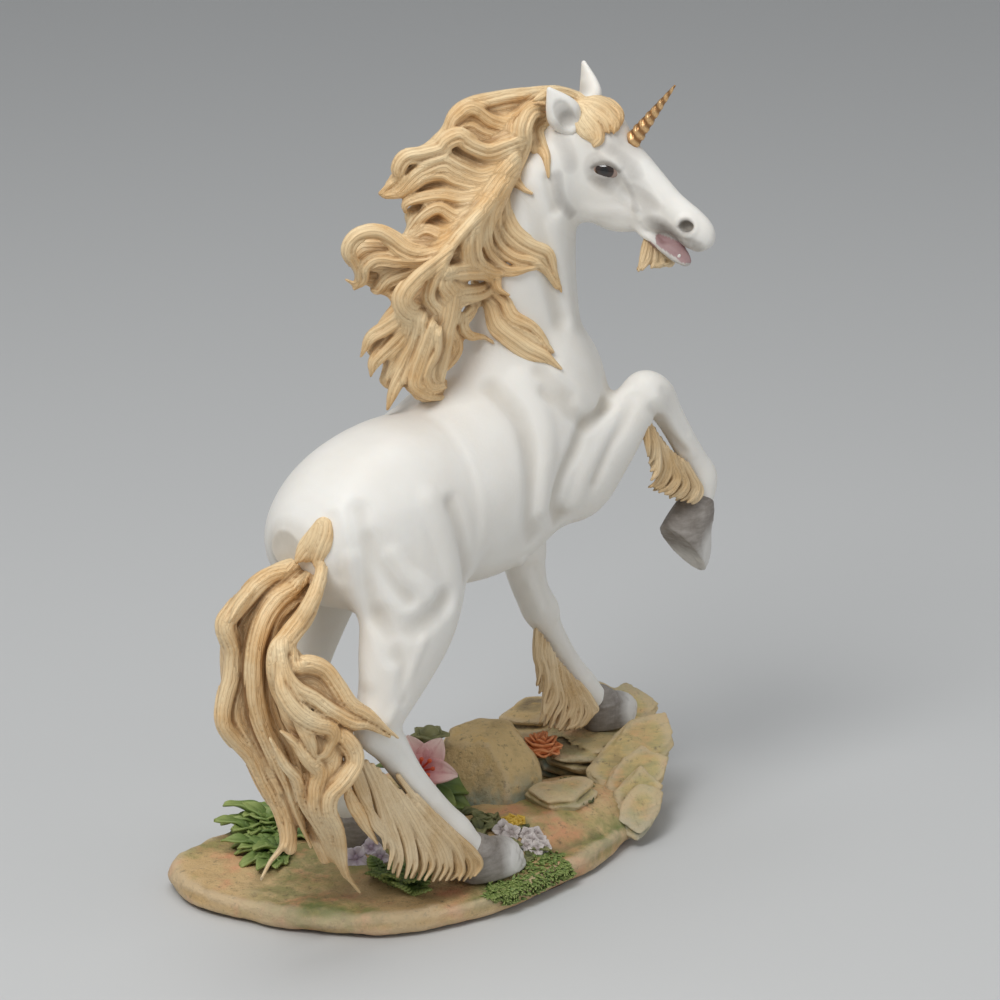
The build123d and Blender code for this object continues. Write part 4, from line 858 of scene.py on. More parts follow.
class Strokes:
    """Locks of hair in one field, each a tapering ribbon with strands along it."""

    def __init__(self, low, high, step, corner, zoom):
        self.clay = Clay(low, high, step)
        self.corner, self.zoom = np.array(corner, float), zoom
        self.mm = zoom * PIXELS
        self.guides = []

    def place(self, marks, layer, lift):
        """Points for marks on an enlarged view; layer is Y from start to end, or the form that they lie on."""
        pixels = self.corner + np.array(marks, float)[:, :2] / self.zoom
        if isinstance(layer, Clay):
            ys = layer.outside(layer.touch(pixels))[:, 1]
            ys = np.where(np.isnan(ys), BESIDE, ys)
            ys[1:-1] = (ys[:-2] + 2 * ys[1:-1] + ys[2:]) / 4
        else:
            share = np.concatenate([[0], np.cumsum(np.linalg.norm(np.diff(pixels, axis=0), axis=1))])
            ys = np.interp(share / share[-1], np.linspace(0, 1, len(layer)), layer)
        return np.array([on_plane(c, r, 1, y) for (c, r), y in zip(pixels, ys)]) + TOWARD * lift

    def lock(self, marks, layer, half, thick, strands=5, depth=0.5, lift=0.0, blend=1.0, face=TOWARD,
             tip=0.25, root=0.7):
        """One lock; marks and half widths are in pixels of the enlarged view, the rest in millimetres."""
        spots = self.place(marks, layer, lift)
        share = np.linspace(0, 1, len(spots))
        half = np.interp(share, np.linspace(0, 1, len(half)), half) / self.mm
        taper = np.minimum(root + (1 - root) * np.clip(share / 0.2, 0, 1),
                           tip + (1 - tip) * np.clip((1 - share) / 0.25, 0, 1))
        deep = thick * np.minimum(1, 0.35 + 0.65 * taper)
        rows = np.column_stack([spots, deep, np.maximum(half * taper, 0.5)])
        self.guides.append((rows[:, :3], rows[:, 4], np.asarray(face, float)))
        cut, other = self.clay.swept(rows, margin=blend + 2.5, face=face, strands=strands, groove=depth, steps=5)
        self.clay.d[cut] = melt(self.clay.d[cut], other, blend)

    def across(self, points):
        """How far each point lies across the lock that it belongs to, so that paint can follow the strands."""
        spots, sides, shifts, starts = [], [], [], []
        for k, (line, half, face) in enumerate(self.guides):
            path = spline(np.column_stack([line, half]), 5)
            way = unit(np.gradient(path[:, :3], axis=0))
            side = unit(np.cross(way, face))
            for share in (-0.55, 0.0, 0.55):
                spots.append(path[:, :3] + side * path[:, 3:] * share)
                sides.append(side)
                shifts.append(np.full(len(path), k * 0.1))
                starts.append(path[:, :3])
        spots, sides, shifts, starts = (np.concatenate(v) for v in (spots, sides, shifts, starts))
        tree = KDTree(len(spots))
        for k, spot in enumerate(spots):
            tree.insert(spot, k)
        tree.balance()
        near = np.array([tree.find(point)[1] for point in points])
        return ((points - starts[near]) * sides[near]).sum(1) + shifts[near]

    def finish(self, name, material, slot, nodes):
        points, quads = self.clay.skin()
        wide = self.clay.at(points, self.clay.hollow(2.0))
        fine = self.clay.at(points, self.clay.hollow(0.9))
        paint = {"groove": np.clip(-fine * 2.7 + 0.14, 0, 1), "under": np.clip(-wide * 1.15 - 0.08, 0, 1),
                 "strand": self.across(points)}
        piece(name, points, quads, nodes, material, paint)


wheat = hair_material("wheat_hair", (0.85, 0.67, 0.41), (0.72, 0.46, 0.21), (0.36, 0.185, 0.07))
tawny = hair_material("tawny_feather", (0.76, 0.60, 0.38), (0.60, 0.40, 0.19), (0.25, 0.135, 0.055), 0.95)

mane = Strokes((-62, -44, 166), (46, 8, 288), 0.62 * COARSE, *MANE_VIEW)
for marks, layer, half, thick in [
        ([(850, 185), (700, 215), (560, 260), (430, 330)], (-18, -14, -11), (70, 85, 60), 5.0),
        ([(800, 265), (680, 330), (520, 330), (420, 370)], (-21, -15, -10), (70, 80, 60), 4.6),
        ([(760, 320), (640, 400), (480, 400), (330, 430), (215, 515)], (-24, -15, -5), (60, 80, 50), 4.2),
        ([(690, 450), (560, 500), (420, 500), (270, 530)], (-26, -16, -7), (60, 75, 55), 4.0),
        ([(640, 540), (520, 590), (400, 620), (300, 640)], (-26, -17, -9), (60, 80, 60), 4.0),
        ([(600, 620), (500, 690), (400, 710), (290, 720)], (-26, -17, -9), (60, 70, 45), 4.0),
        ([(520, 720), (400, 790), (260, 800), (120, 790), (60, 830)], (-27, -14, -2), (60, 70, 80, 50), 2.4),
        ([(470, 780), (380, 850), (260, 890), (110, 890)], (-26, -15, -3), (60, 75, 70), 2.2),
        ([(470, 780), (400, 900), (330, 1000), (230, 1110), (140, 1200)], (-26, -18, -7), (70, 80, 70), 3.0),
        ([(430, 900), (370, 1050), (290, 1180), (200, 1330)], (-26, -19, -9), (70, 85, 75), 3.0),
        ([(430, 950), (400, 1100), (370, 1220), (350, 1330), (400, 1370)], (-27, -22, -16), (60, 80, 70), 3.2),
        ([(700, 290), (650, 440), (570, 600), (500, 760), (460, 900), (460, 1060)], (-21, -23, -21),
         (75, 85, 60), 7.0)]:
    mane.lock(marks, layer, half, thick, strands=0, blend=5.0, lift=-1.6, tip=0.55)
for marks, layer, half, thick in [
        ([(880, 128), (780, 145), (650, 165), (545, 190), (480, 230), (445, 300), (415, 350)],
         (-18, -14, -10), (26, 30, 22), 3.6),
        ([(830, 175), (790, 195), (740, 240), (680, 268), (620, 250), (570, 215), (530, 205), (480, 245), (455, 300)],
         (-21, -18, -12), (20, 24, 16), 3.4),
        ([(790, 235), (745, 280), (680, 310), (600, 300), (530, 270), (470, 300), (430, 340)],
         (-23, -17, -11), (20, 26, 18), 3.0),
        ([(745, 325), (680, 352), (610, 372), (550, 352), (490, 315), (440, 333), (410, 366), (340, 385), (270, 402),
          (240, 445), (240, 480), (190, 525), (163, 550)], (-27, -16, -4), (24, 30, 26, 14), 3.4),
        ([(720, 400), (660, 452), (580, 476), (500, 446), (440, 416), (390, 422), (330, 452), (280, 492), (230, 540),
          (180, 560)], (-27, -17, -5), (22, 26, 20), 3.0),
        ([(690, 450), (640, 502), (560, 522), (480, 502), (420, 472), (350, 482), (290, 522), (240, 556), (195, 566)],
         (-27, -17, -6), (22, 24, 16), 2.8),
        ([(650, 530), (580, 562), (500, 574), (420, 560), (340, 570), (275, 590), (268, 625)],
         (-27, -18, -8), (20, 24, 16), 2.6),
        ([(620, 575), (560, 622), (480, 643), (420, 612), (380, 616), (330, 652), (290, 702), (270, 742)],
         (-28, -18, -8), (20, 22, 14), 3.0),
        ([(570, 640), (500, 690), (430, 722), (360, 702), (310, 722), (275, 748)], (-28, -19, -9), (20, 22, 14), 2.8),
        ([(540, 690), (470, 752), (400, 790), (330, 800), (270, 780), (220, 742), (160, 712), (100, 714), (55, 740),
          (34, 785), (50, 830), (72, 880), (62, 920), (28, 908)], (-29, -14, -2), (24, 30, 24, 12), 3.2),
        ([(450, 790), (340, 830), (240, 830), (160, 820), (110, 850), (100, 910), (60, 945)],
         (-27, -15, -3), (14, 24, 18), 2.2),
        ([(440, 800), (350, 850), (270, 880), (200, 910), (160, 950), (130, 950)], (-27, -16, -5), (14, 24, 16), 2.2),
        ([(430, 810), (350, 880), (280, 940), (240, 975), (190, 962)], (-27, -17, -8), (16, 22, 16), 2.4),
        ([(440, 795), (370, 850), (300, 915), (258, 975), (275, 1030), (340, 1058), (402, 1085), (440, 1135),
          (463, 1185), (432, 1240), (392, 1290), (430, 1335), (476, 1370)], (-30, -20, -14), (26, 34, 34, 20), 3.6),
        ([(430, 830), (390, 900), (370, 970), (400, 1030), (440, 1070), (465, 1130)],
         (-30, -24, -20), (18, 24, 14), 3.0),
        ([(262, 1000), (240, 1060), (185, 1105), (125, 1145), (88, 1220)], (-20, -12, -6), (20, 26, 16), 2.8),
        ([(280, 1030), (262, 1110), (205, 1180), (145, 1240), (128, 1300)], (-21, -13, -7), (20, 26, 16), 2.8),
        ([(310, 1060), (290, 1150), (235, 1240), (190, 1320)], (-23, -15, -9), (20, 26, 16), 2.8),
        ([(340, 1070), (320, 1170), (270, 1270), (222, 1360), (196, 1440)], (-25, -16, -10), (20, 28, 14), 3.0),
        ([(380, 1090), (350, 1180), (318, 1270), (305, 1330), (345, 1375), (410, 1392), (462, 1392)],
         (-27, -20, -17), (20, 26, 20), 3.4),
        ([(410, 1120), (400, 1200), (360, 1280), (370, 1340), (430, 1350)], (-29, -23, -19), (18, 24, 18), 3.2)]:
    mane.lock(marks, layer, np.array(half) * 1.3, thick, strands=3, depth=0.8, blend=2.2)

for marks, half, thick, lift in [
        ([(700, 470), (682, 560), (682, 650), (722, 722), (792, 772), (852, 802), (882, 872), (912, 952)],
         (30, 34, 34, 20), 2.6, 0.4),
        ([(682, 500), (642, 590), (632, 680), (662, 760), (722, 812), (792, 832), (846, 870), (890, 940)],
         (24, 30, 26, 14), 2.6, 0.9),
        ([(662, 520), (605, 610), (592, 700), (604, 790), (652, 848), (712, 872), (800, 858)], (24, 30, 22), 2.8, 1.2),
        ([(630, 570), (565, 660), (552, 750), (566, 830), (612, 872), (660, 884)], (24, 28, 18), 3.0, 1.6),
        ([(600, 600), (532, 690), (512, 780), (524, 850), (560, 880)], (24, 26, 18), 3.2, 2.0),
        ([(575, 640), (500, 720), (452, 782), (424, 840), (440, 872), (520, 872), (590, 872), (636, 900), (658, 948),
          (696, 972)], (22, 26, 34, 16), 3.4, 3.2),
        ([(430, 860), (425, 930), (470, 985), (545, 972), (536, 1030), (503, 1085), (530, 1136), (592, 1145),
          (628, 1165)], (26, 30, 22, 10), 3.0, 1.6),
        ([(440, 900), (480, 950), (560, 960), (610, 940), (640, 925)], (24, 34, 18), 3.0, 2.4),
        ([(560, 930), (622, 1000), (652, 1080), (702, 1132), (782, 1190), (852, 1225), (914, 1275)],
         (34, 44, 42, 18), 2.8, 0.6),
        ([(600, 940), (672, 990), (712, 1060), (800, 1112), (880, 1205)], (20, 26, 16), 2.6, 1.0),
        ([(850, 200), (785, 215), (752, 280), (750, 350), (722, 430), (718, 490), (752, 530), (792, 552)],
         (30, 34, 28, 10), 3.0, 0.8),
        ([(858, 250), (815, 290), (830, 350), (852, 400), (860, 485)], (26, 26, 10), 2.4, 0.6),
        ([(840, 170), (800, 250), (790, 330), (800, 380)], (26, 34, 18), 2.8, 0.6)]:
    mane.lock(marks, body, np.array(half) * 1.2, thick, strands=3, depth=0.8, lift=lift, blend=1.6)
mane.finish("mane_hair", wheat, "resin_hair",
            ["mane_root", "mane_crest", "mane_upper", "mane_middle", "mane_lower", "mane_withers",
             "mane_long_near", "mane_near"])

# Hair on the crown and the forelock, laid on the head.
crown = Strokes((2, -50, 236), (60, 6, 290), 0.5 * COARSE, *MANE_VIEW)
for marks, layer, half, thick, lift in [
        ([(1010, 192), (970, 172), (915, 156), (860, 158)], head, (30, 42, 38), 2.6, -0.6),
        ([(1000, 195), (930, 170), (860, 166), (790, 190)], (-18, -14, -12), (44, 54, 48), 4.4, -0.8),
        ([(1012, 180), (972, 150), (912, 132), (850, 142), (800, 168)], head, (22, 26, 22), 2.0, 0.6),
        ([(1010, 188), (965, 162), (905, 146), (845, 162)], head, (22, 26, 22), 2.0, 0.6),
        ([(1008, 194), (962, 176), (905, 162), (862, 176)], head, (20, 24, 20), 1.8, 0.5),
        ([(990, 190), (1040, 200), (1100, 230), (1130, 260)], head, (40, 50, 30), 2.6, 0.2),
        ([(995, 192), (940, 144), (870, 130), (790, 158)], (-13, -10, -10), (20, 26, 20), 3.0, 0.0),
        ([(992, 192), (930, 162), (870, 156), (820, 178)], (-15, -12, -11), (20, 26, 20), 3.0, 0.0),
        ([(990, 196), (950, 182), (905, 176), (870, 186)], (-17, -14, -12), (20, 22, 16), 2.6, 0.0),
        ([(1000, 168), (960, 142), (915, 128)], (-12, -11, -10), (20, 24, 16), 2.6, 0.0),
        ([(992, 190), (1050, 168), (1108, 188), (1146, 232), (1143, 285)], head, (22, 30, 24), 2.6, 1.2),
        ([(992, 190), (1050, 195), (1100, 225), (1128, 265), (1130, 300)], head, (20, 28, 20), 2.4, 1.6),
        ([(990, 190), (1045, 222), (1088, 255), (1108, 300)], head, (20, 26, 18), 2.4, 1.6),
        ([(988, 190), (1025, 240), (1060, 285), (1070, 330), (1052, 355)], head, (20, 26, 14), 2.4, 1.3),
        ([(986, 192), (1000, 245), (1028, 290), (1048, 330), (1046, 352)], head, (18, 24, 12), 2.2, 0.9),
        ([(986, 192), (978, 250), (998, 300), (1030, 330)], head, (18, 22, 10), 2.0, 0.4)]:
    crown.lock(marks, layer, half, thick, strands=5, depth=0.5, lift=lift, blend=1.0)
crown.finish("forelock_hair", wheat, "resin_hair", ["forelock"])

beard = Strokes((24, -66, 206), (58, -38, 236), 0.45 * COARSE, *BEARD_VIEW)
for marks, layer in [
        ([(830, 1225), (815, 1290), (800, 1360), (775, 1440)], (-51, -53)),
        ([(850, 1245), (845, 1310), (835, 1370), (800, 1432)], (-52, -54)),
        ([(880, 1280), (885, 1330), (880, 1385), (860, 1420)], (-53, -55)),
        ([(910, 1310), (930, 1350), (925, 1395), (895, 1415)], (-54, -56)),
        ([(940, 1340), (975, 1365), (985, 1390), (950, 1405)], (-55, -57)),
        ([(840, 1240), (830, 1310), (810, 1380), (770, 1430)], (-47, -48)),
        ([(890, 1290), (890, 1350), (870, 1410)], (-49, -50))]:
    beard.lock(marks, layer, (26, 30, 14), 1.9, strands=4, depth=0.4, blend=0.8)
beard.finish("beard_hair", tawny, "resin_feather", ["beard"])

# The tail.
tail = Strokes((-141, -62, 6), (-40, 12, 152), 0.68 * COARSE, *TAIL_VIEW)
for marks, layer, half, thick in [
        ([(462, 95), (440, 170), (370, 260), (270, 330), (200, 430), (165, 540), (165, 680), (180, 800), (230, 930),
          (285, 1060), (320, 1180), (335, 1300)], (-16, -20, -21, -21, -24, -27), (30, 55, 84, 86, 74, 55, 40), 6.0),
        ([(470, 130), (440, 230), (380, 330), (330, 430), (290, 540), (260, 680), (290, 820), (340, 950), (390, 1100),
          (430, 1230), (460, 1330)], (-17, -24, -28, -28, -28, -28), (30, 55, 60, 70, 70, 55, 36), 6.0),
        ([(300, 560), (320, 680), (380, 780), (440, 850), (480, 900)], (-36, -42, -46), (50, 70, 40), 4.0),
        ([(340, 600), (420, 680), (500, 750), (580, 810)], (-38, -44, -50), (45, 48, 22), 3.6),
        ([(350, 800), (420, 900), (470, 960), (440, 1060), (450, 1150), (490, 1270), (540, 1390)],
         (-40, -47, -44, -36, -30), (52, 62, 50, 42, 26), 4.0)]:
    tail.lock(marks, layer, half, thick, strands=0, blend=4.0, lift=-4.2, tip=0.6, root=0.85)
for marks, half in [([(462, 78), (452, 120), (432, 170), (400, 225)], (16, 26, 30)),
                    ([(478, 86), (472, 130), (455, 180), (430, 240)], (14, 24, 28)),
                    ([(446, 84), (428, 130), (398, 180), (360, 230)], (14, 24, 28))]:
    tail.lock(marks, body, np.array(half) * 1.35, 2.8, strands=5, depth=0.6, lift=0.2, blend=1.4, root=0.75)
outer, middle_y, inner = (-17, -19, -18, -18, -22, -26), (-18, -24, -26, -27, -28, -28), (-19, -29, -35, -37, -34, -29)
for marks, layer, half, thick in [
        ([(432, 125), (395, 215), (330, 262), (250, 292), (180, 352), (122, 420), (95, 470), (122, 560), (118, 650),
          (96, 740), (88, 820), (122, 885), (190, 962), (240, 1062), (288, 1160), (312, 1275), (262, 1350),
          (230, 1412)], outer, (26, 34, 34, 30, 26, 12), 5.0),
        ([(445, 125), (410, 235), (345, 282), (262, 330), (205, 402), (165, 480), (155, 580), (148, 690), (135, 800),
          (182, 900), (246, 1010), (306, 1130), (330, 1240), (322, 1300)], outer, (24, 32, 34, 30, 20), 4.6),
        ([(455, 130), (420, 255), (352, 325), (284, 376), (238, 450), (212, 540), (204, 640), (208, 740), (236, 850),
          (284, 960), (326, 1060), (366, 1180), (412, 1290)], middle_y, (24, 34, 34, 30, 18), 4.6),
        ([(466, 135), (440, 262), (400, 346), (336, 396), (286, 446), (264, 526), (254, 620), (262, 720), (294, 830),
          (344, 930), (376, 1030), (408, 1120), (458, 1220), (516, 1330), (548, 1400), (590, 1455)], middle_y,
          (24, 34, 36, 30, 14), 4.8),
        ([(478, 140), (466, 240), (432, 342), (392, 430), (352, 482), (322, 522), (292, 566), (288, 640), (318, 720),
          (380, 782), (450, 822), (490, 862), (484, 905)], inner, (22, 32, 36, 34, 18), 4.4),
        ([(425, 150), (385, 225), (300, 262), (215, 315), (150, 390), (112, 450)], outer, (18, 26, 16), 4.0),
        ([(470, 160), (445, 300), (405, 400), (360, 470), (338, 540)], inner, (18, 28, 16), 3.6),
        ([(220, 560), (225, 680), (225, 780), (262, 880), (310, 980), (350, 1100), (388, 1210)],
         middle_y[2:], (20, 28, 16), 3.4),
        ([(160, 600), (172, 720), (170, 820), (214, 910), (264, 1010), (300, 1090)], outer[2:], (20, 26, 14), 3.4),
        ([(342, 560), (350, 620), (402, 612), (462, 632), (512, 692), (560, 762), (622, 802), (682, 842), (735, 884)],
         (-38, -43, -48, -51), (26, 30, 30, 24, 8), 3.6),
        ([(302, 560), (312, 640), (352, 702), (422, 742), (492, 792), (562, 832), (622, 842), (702, 880)],
         (-39, -44, -48, -50), (24, 32, 26, 12), 3.6),
        ([(292, 620), (302, 702), (352, 782), (422, 832), (482, 852), (492, 882), (470, 940), (440, 962)],
         (-40, -45, -48, -46), (24, 32, 26, 10), 3.4),
        ([(330, 760), (382, 852), (412, 905), (428, 950)], (-40, -45, -46), (22, 26, 14), 3.2),
        ([(402, 822), (472, 860), (532, 884), (572, 932), (577, 982), (542, 1042), (492, 1092), (480, 1152),
          (510, 1222), (530, 1302), (548, 1392), (592, 1455)], (-42, -49, -50, -44, -36, -30),
          (24, 34, 30, 26, 10), 3.8),
        ([(302, 862), (352, 902), (402, 962), (438, 1012), (430, 1082), (432, 1152), (470, 1232), (510, 1312),
          (545, 1402)], (-40, -44, -42, -36, -31), (22, 28, 24, 12), 3.6),
        ([(262, 890), (312, 980), (362, 1040), (392, 1130), (440, 1210), (480, 1290), (530, 1380)],
         (-38, -38, -34, -30), (20, 26, 14), 3.4),
        ([(535, 1050), (568, 1130), (608, 1200), (660, 1278)], (-47, -47, -45), (22, 24, 8), 3.0),
        ([(540, 1045), (590, 1160), (640, 1250)], (-48, -47, -45), (16, 18, 8), 2.4)]:
    start = 0.12 if marks[0][1] > 580 else 0.7
    tail.lock(marks, layer, np.array(half) * 1.12, thick, strands=6, depth=0.65, blend=1.2, root=start)
tail.finish("tail_hair", wheat, "resin_hair", ["tail_dock", "tail_outer", "tail_inner", "tail_side", "tail_lower"])


def thicker(locks):
    """The locks with one more between each two of them, all drawn with five marks."""
    share, even = np.linspace(0, 1, 5), []
    for marks in locks:
        places = np.linspace(0, 1, len(marks))
        even.append(np.column_stack([np.interp(share, places, line) for line in np.array(marks, float).T]))
    dense = even[:1]
    for one, two in zip(even, even[1:]):
        dense += [(one + two) / 2, two]
    return dense


# Feathers behind the cannons: short wavy locks in three layers across each leg.
def feather(name, low, high, across, locks, node, seed):
    """Locks of one leg in layers at the given Y, each with a slight wave of its own."""
    locks = thicker(locks)
    rng = np.random.default_rng(seed)
    tuft = Strokes(low, high, 0.5 * COARSE, (0, 0), 1.0)
    for layer in across:
        for k, marks in enumerate(locks):
            if k < 3 and layer == across[-1]:
                continue
            wave = rng.uniform(-1.3, 1.3, (len(marks), 2))
            wave[0] = 0
            y = layer + rng.uniform(-1, 1)
            drift = (layer - np.mean(across)) * 0.25
            half = np.array((3.6, 4.4, 2.0)) * rng.uniform(0.8, 1.2)
            tuft.lock(marks + wave, (y, y + drift, y + drift * 1.5), half, 1.4,
                      strands=3, depth=0.4, blend=0.7, root=0.8, tip=0.15)
    tuft.finish(name, tawny, "resin_feather", [node])


feather("feather_right_hind", (-96, -54, 9), (-24, -30, 92), (-46.5, -42, -37.5), [
    [(345, 742), (352, 775), (366, 806), (384, 828)], [(352, 752), (366, 790), (374, 822), (392, 846), (388, 868)],
    [(366, 762), (380, 796), (392, 828), (400, 856), (398, 876)],
    [(378, 770), (394, 806), (410, 836), (416, 862), (412, 878)],
    [(388, 782), (408, 814), (424, 842), (432, 864), (426, 880)],
    [(400, 792), (420, 822), (438, 846), (446, 866), (440, 880)],
    [(412, 802), (434, 828), (452, 850), (458, 868), (452, 880)],
    [(424, 808), (446, 832), (464, 852), (470, 868), (464, 880)],
    [(436, 816), (456, 836), (472, 852), (480, 864), (474, 876)], [(398, 776), (416, 800), (434, 822), (452, 838)]],
    "right_hind_feather", 3)
feather("feather_standing", (30, -10, 24), (86, 12, 82), (-4, 0, 3.5), [
    [(536, 630), (535, 650), (540, 668), (538, 684)], [(541, 636), (541, 660), (547, 680), (543, 700)],
    [(547, 644), (548, 668), (552, 690), (545, 708), (540, 722)],
    [(553, 654), (556, 676), (560, 700), (554, 716), (550, 727)],
    [(560, 664), (564, 686), (570, 704), (566, 720), (560, 730)],
    [(567, 672), (573, 692), (580, 708), (577, 722), (571, 729)],
    [(574, 680), (582, 696), (589, 708), (586, 720), (580, 727)], [(580, 684), (590, 697), (597, 706), (594, 714)]],
    "left_fore_feather", 5)
feather("feather_raised", (48, -48, 116), (90, -28, 160), (-42, -38, -34), [
    [(645, 418), (646, 432), (650, 444), (648, 456)], [(650, 424), (652, 442), (657, 458), (652, 472)],
    [(656, 434), (660, 452), (664, 468), (658, 482), (650, 487)],
    [(663, 444), (668, 462), (673, 476), (668, 488), (660, 491)],
    [(670, 452), (676, 468), (682, 482), (678, 492), (671, 497)],
    [(678, 458), (685, 473), (691, 486), (688, 496), (682, 501)],
    [(686, 464), (693, 477), (699, 489), (697, 498), (692, 503)]],
    "right_fore_feather", 7)


# Ears: pointed shells hollowed on their open side.
def ear(name, foot, tip, opening, node):
    """An ear in the head's frame, open towards one side."""
    foot, tip, opening = np.array(foot, float), np.array(tip, float), unit(np.array(opening, float))
    clay = Clay(np.minimum(foot, tip) - 9, np.maximum(foot, tip) + 9, 0.4 * COARSE, POLL, HEAD)
    along = tip - foot
    lean = unit(along)
    bow = opening * 1.2
    rows = [(*(foot - along * 0.2), 3.0, 3.6), (*foot, 3.2, 5.2), (*(foot + along * 0.28 + bow), 3.0, 6.0),
            (*(foot + along * 0.55 + bow), 2.4, 4.9), (*(foot + along * 0.8 + bow * 0.6), 1.6, 3.0),
            (*(tip + along * 0.05), 0.8, 0.8)]
    clay.add(rows, 0, face=opening, blunt=0.7)
    out = unit(opening - lean * (opening @ lean))
    wide = np.cross(lean, out)
    clay.oval(foot + along * 0.36 + bow + out * 2.9, (np.linalg.norm(along) * 0.46, 3.3, 2.4), 0.7,
              [lean, wide, out], cutting=True)
    clay.oval(foot + along * 0.12 + bow * 0.6 + out * 2.2, (3.6, 2.6, 2.2), 0.9, [lean, wide, out], cutting=True)
    clay.soften(1)
    points, quads = clay.skin()
    dark = fade(points, foot + along * 0.22 + out * 1.2, (5.5, 5.0, 5.0))
    paint = {"hollow": clay.at(points, clay.hollow(1.6)) * 0.9, "shade": dark * 0.55, "flesh": points[:, 0] * 0}
    piece(name, clay.outside(points), quads, [node], coat, paint)


ear("ear_near", (5.8, -12.1, -1.5), (-4.5, -18.5, 4.9), (.45, -.80, .35), "ear_right")
ear("ear_far", (3.6, 7.2, 1.0), (-6.6, 9.2, 8.6), (.70, .35, -.1), "ear_left")

# Lower teeth: a short curved row at the end of the jaw.
teeth = []
tooth_seat = middle_of_head(683.5, 258.5)
for k in range(6):
    t = (k - 2.5) / 2.5
    spot = tooth_seat + np.array([-1.4 * t * t, 2.2 * t, 0.0])
    rings, around = 6, 10
    faces = ring_faces(rings + 1, around)[:, [0, 3, 2, 1]]
    teeth.append((head.outside(spot + globe((0.7, 0.5, 1.3), rings, around)), faces, {}))
points, faces, _ = gather(teeth)
none = np.zeros(len(points))
piece("teeth", points, faces, (), coat, {"hollow": none, "shade": none + 0.15, "flesh": none})


# The base: ground, boulders and slate.
def stone_material(name, tints, strata=0.0, damp=(0.26, 0.34, 0.29)):
    """Painted stone: drifting patches of earth colours, a dark wash in the pits and dry-brushed high spots."""
    p = Paint(name)
    dark = (0.13, 0.095, 0.055)
    colour = p.mix(p.band(p.grain(34, 3, 0.5, (1, 1, 1.6)), 0.36, 0.62), tints[0], tints[1])
    colour = p.mix(p.band(p.grain(19, 4, 0.6, (1, 1.3, 1)), 0.50, 0.66), colour, tints[2])
    colour = p.mix(p.band(p.grain(24, 4, 0.6, (1.2, 1, 1)), 0.54, 0.68), colour, tints[3])
    if strata:
        colour = p.mix(p.times(p.band(p.grain(3.4, 3, 0.6, (0.25, 0.25, 1.6)), 0.46, 0.62), strata), colour, tints[4])
    colour = p.mix(p.times(p.painted("mossy"), p.band(p.grain(6, 4, 0.6), 0.30, 0.55)), colour, damp)
    fine = p.grain(1.6, 6, 0.7)
    pits = p.band(p.grain(2.6, 5, 0.75), 0.56, 0.70)
    colour = p.mix(p.times(pits, 0.75), colour, dark)
    colour = p.mix(p.band(p.grain(9, 5, 0.7, (1, 1, 2)), 0.54, 0.74, 0.0, 0.5), colour,
                   tuple(0.42 * c for c in tints[0]))
    colour = p.mix(p.times(p.band(p.painted("hollow"), -0.02, -0.75), p.band(fine, 0.2, 0.75, 0.6, 1.0)), colour, dark)
    colour = p.mix(p.times(p.band(p.painted("hollow"), 0.12, 0.6), 0.5), colour, (0.66, 0.53, 0.36))
    rough = p.band(fine, 0.3, 0.7, 0.46, 0.68)
    height = p.plus(fine, p.times(p.grain(5, 4), 1.4))
    p.set(Specular_IOR_Level=0.38)
    return p.finish(colour, rough, height, 0.9, 0.9)


sand = stone_material("painted_sand", damp=(0.17, 0.21, 0.06),
                      tints=[(0.60, 0.40, 0.18), (0.66, 0.47, 0.24), (0.68, 0.34, 0.18), (0.36, 0.33, 0.11)])
rock = stone_material("painted_rock", [(0.72, 0.52, 0.25), (0.62, 0.45, 0.21), (0.76, 0.50, 0.17), (0.74, 0.60, 0.39)])
slate = stone_material("painted_slate", [(0.67, 0.50, 0.22), (0.60, 0.45, 0.20), (0.70, 0.41, 0.20), (0.44, 0.42, 0.20),
                                         (0.36, 0.33, 0.16)], strata=0.65)

RIM = np.array([(101, 2.2), (100, 22), (84, 40.7), (54, 50.6), (16, 54.6), (-24, 53.6), (-66, 52.5),
                (-95, 46.5), (-104, 26),
                (-101, 2), (-94, -16.5), (-73, -44), (-37, -55), (0, -53.6), (28, -48.2), (56, -37.2), (84, -18.7)])


def outline_distance(x, y, corners):
    """Distance from points of the plane to a closed outline, negative inside."""
    near = np.full(x.shape, 1e9)
    inside = np.zeros(x.shape, bool)
    for (ax, ay), (bx, by) in zip(corners, np.roll(corners, -1, axis=0)):
        ex, ey = bx - ax, by - ay
        t = np.clip(((x - ax) * ex + (y - ay) * ey) / (ex * ex + ey * ey), 0, 1)
        near = np.minimum(near, np.hypot(x - ax - t * ex, y - ay - t * ey))
        crosses = ((ay > y) != (by > y)) & (x < (bx - ax) * (y - ay) / np.where(by == ay, 1e-9, by - ay) + ax)
        inside ^= crosses
    return np.where(inside, -near, near)


def ground_height(x, y):
    """Height of the ground over the plan."""
    q = ((x - 22) / 50.0) ** 2 + ((y + 17) / 26.0) ** 2
    mound = 8.5 * np.clip(1.12 - q, 0, 1) ** 0.8 * np.clip(1.12 - q, 0, 1) ** 0.2
    flat = np.stack([x, y, 0 * x], -1)
    rise = 2.2 * noise(flat, 26, 5, 2) + 0.7 * noise(flat, 8, 6, 2)
    return 9.3 + np.minimum(mound, 7.5) + rise * 0.7


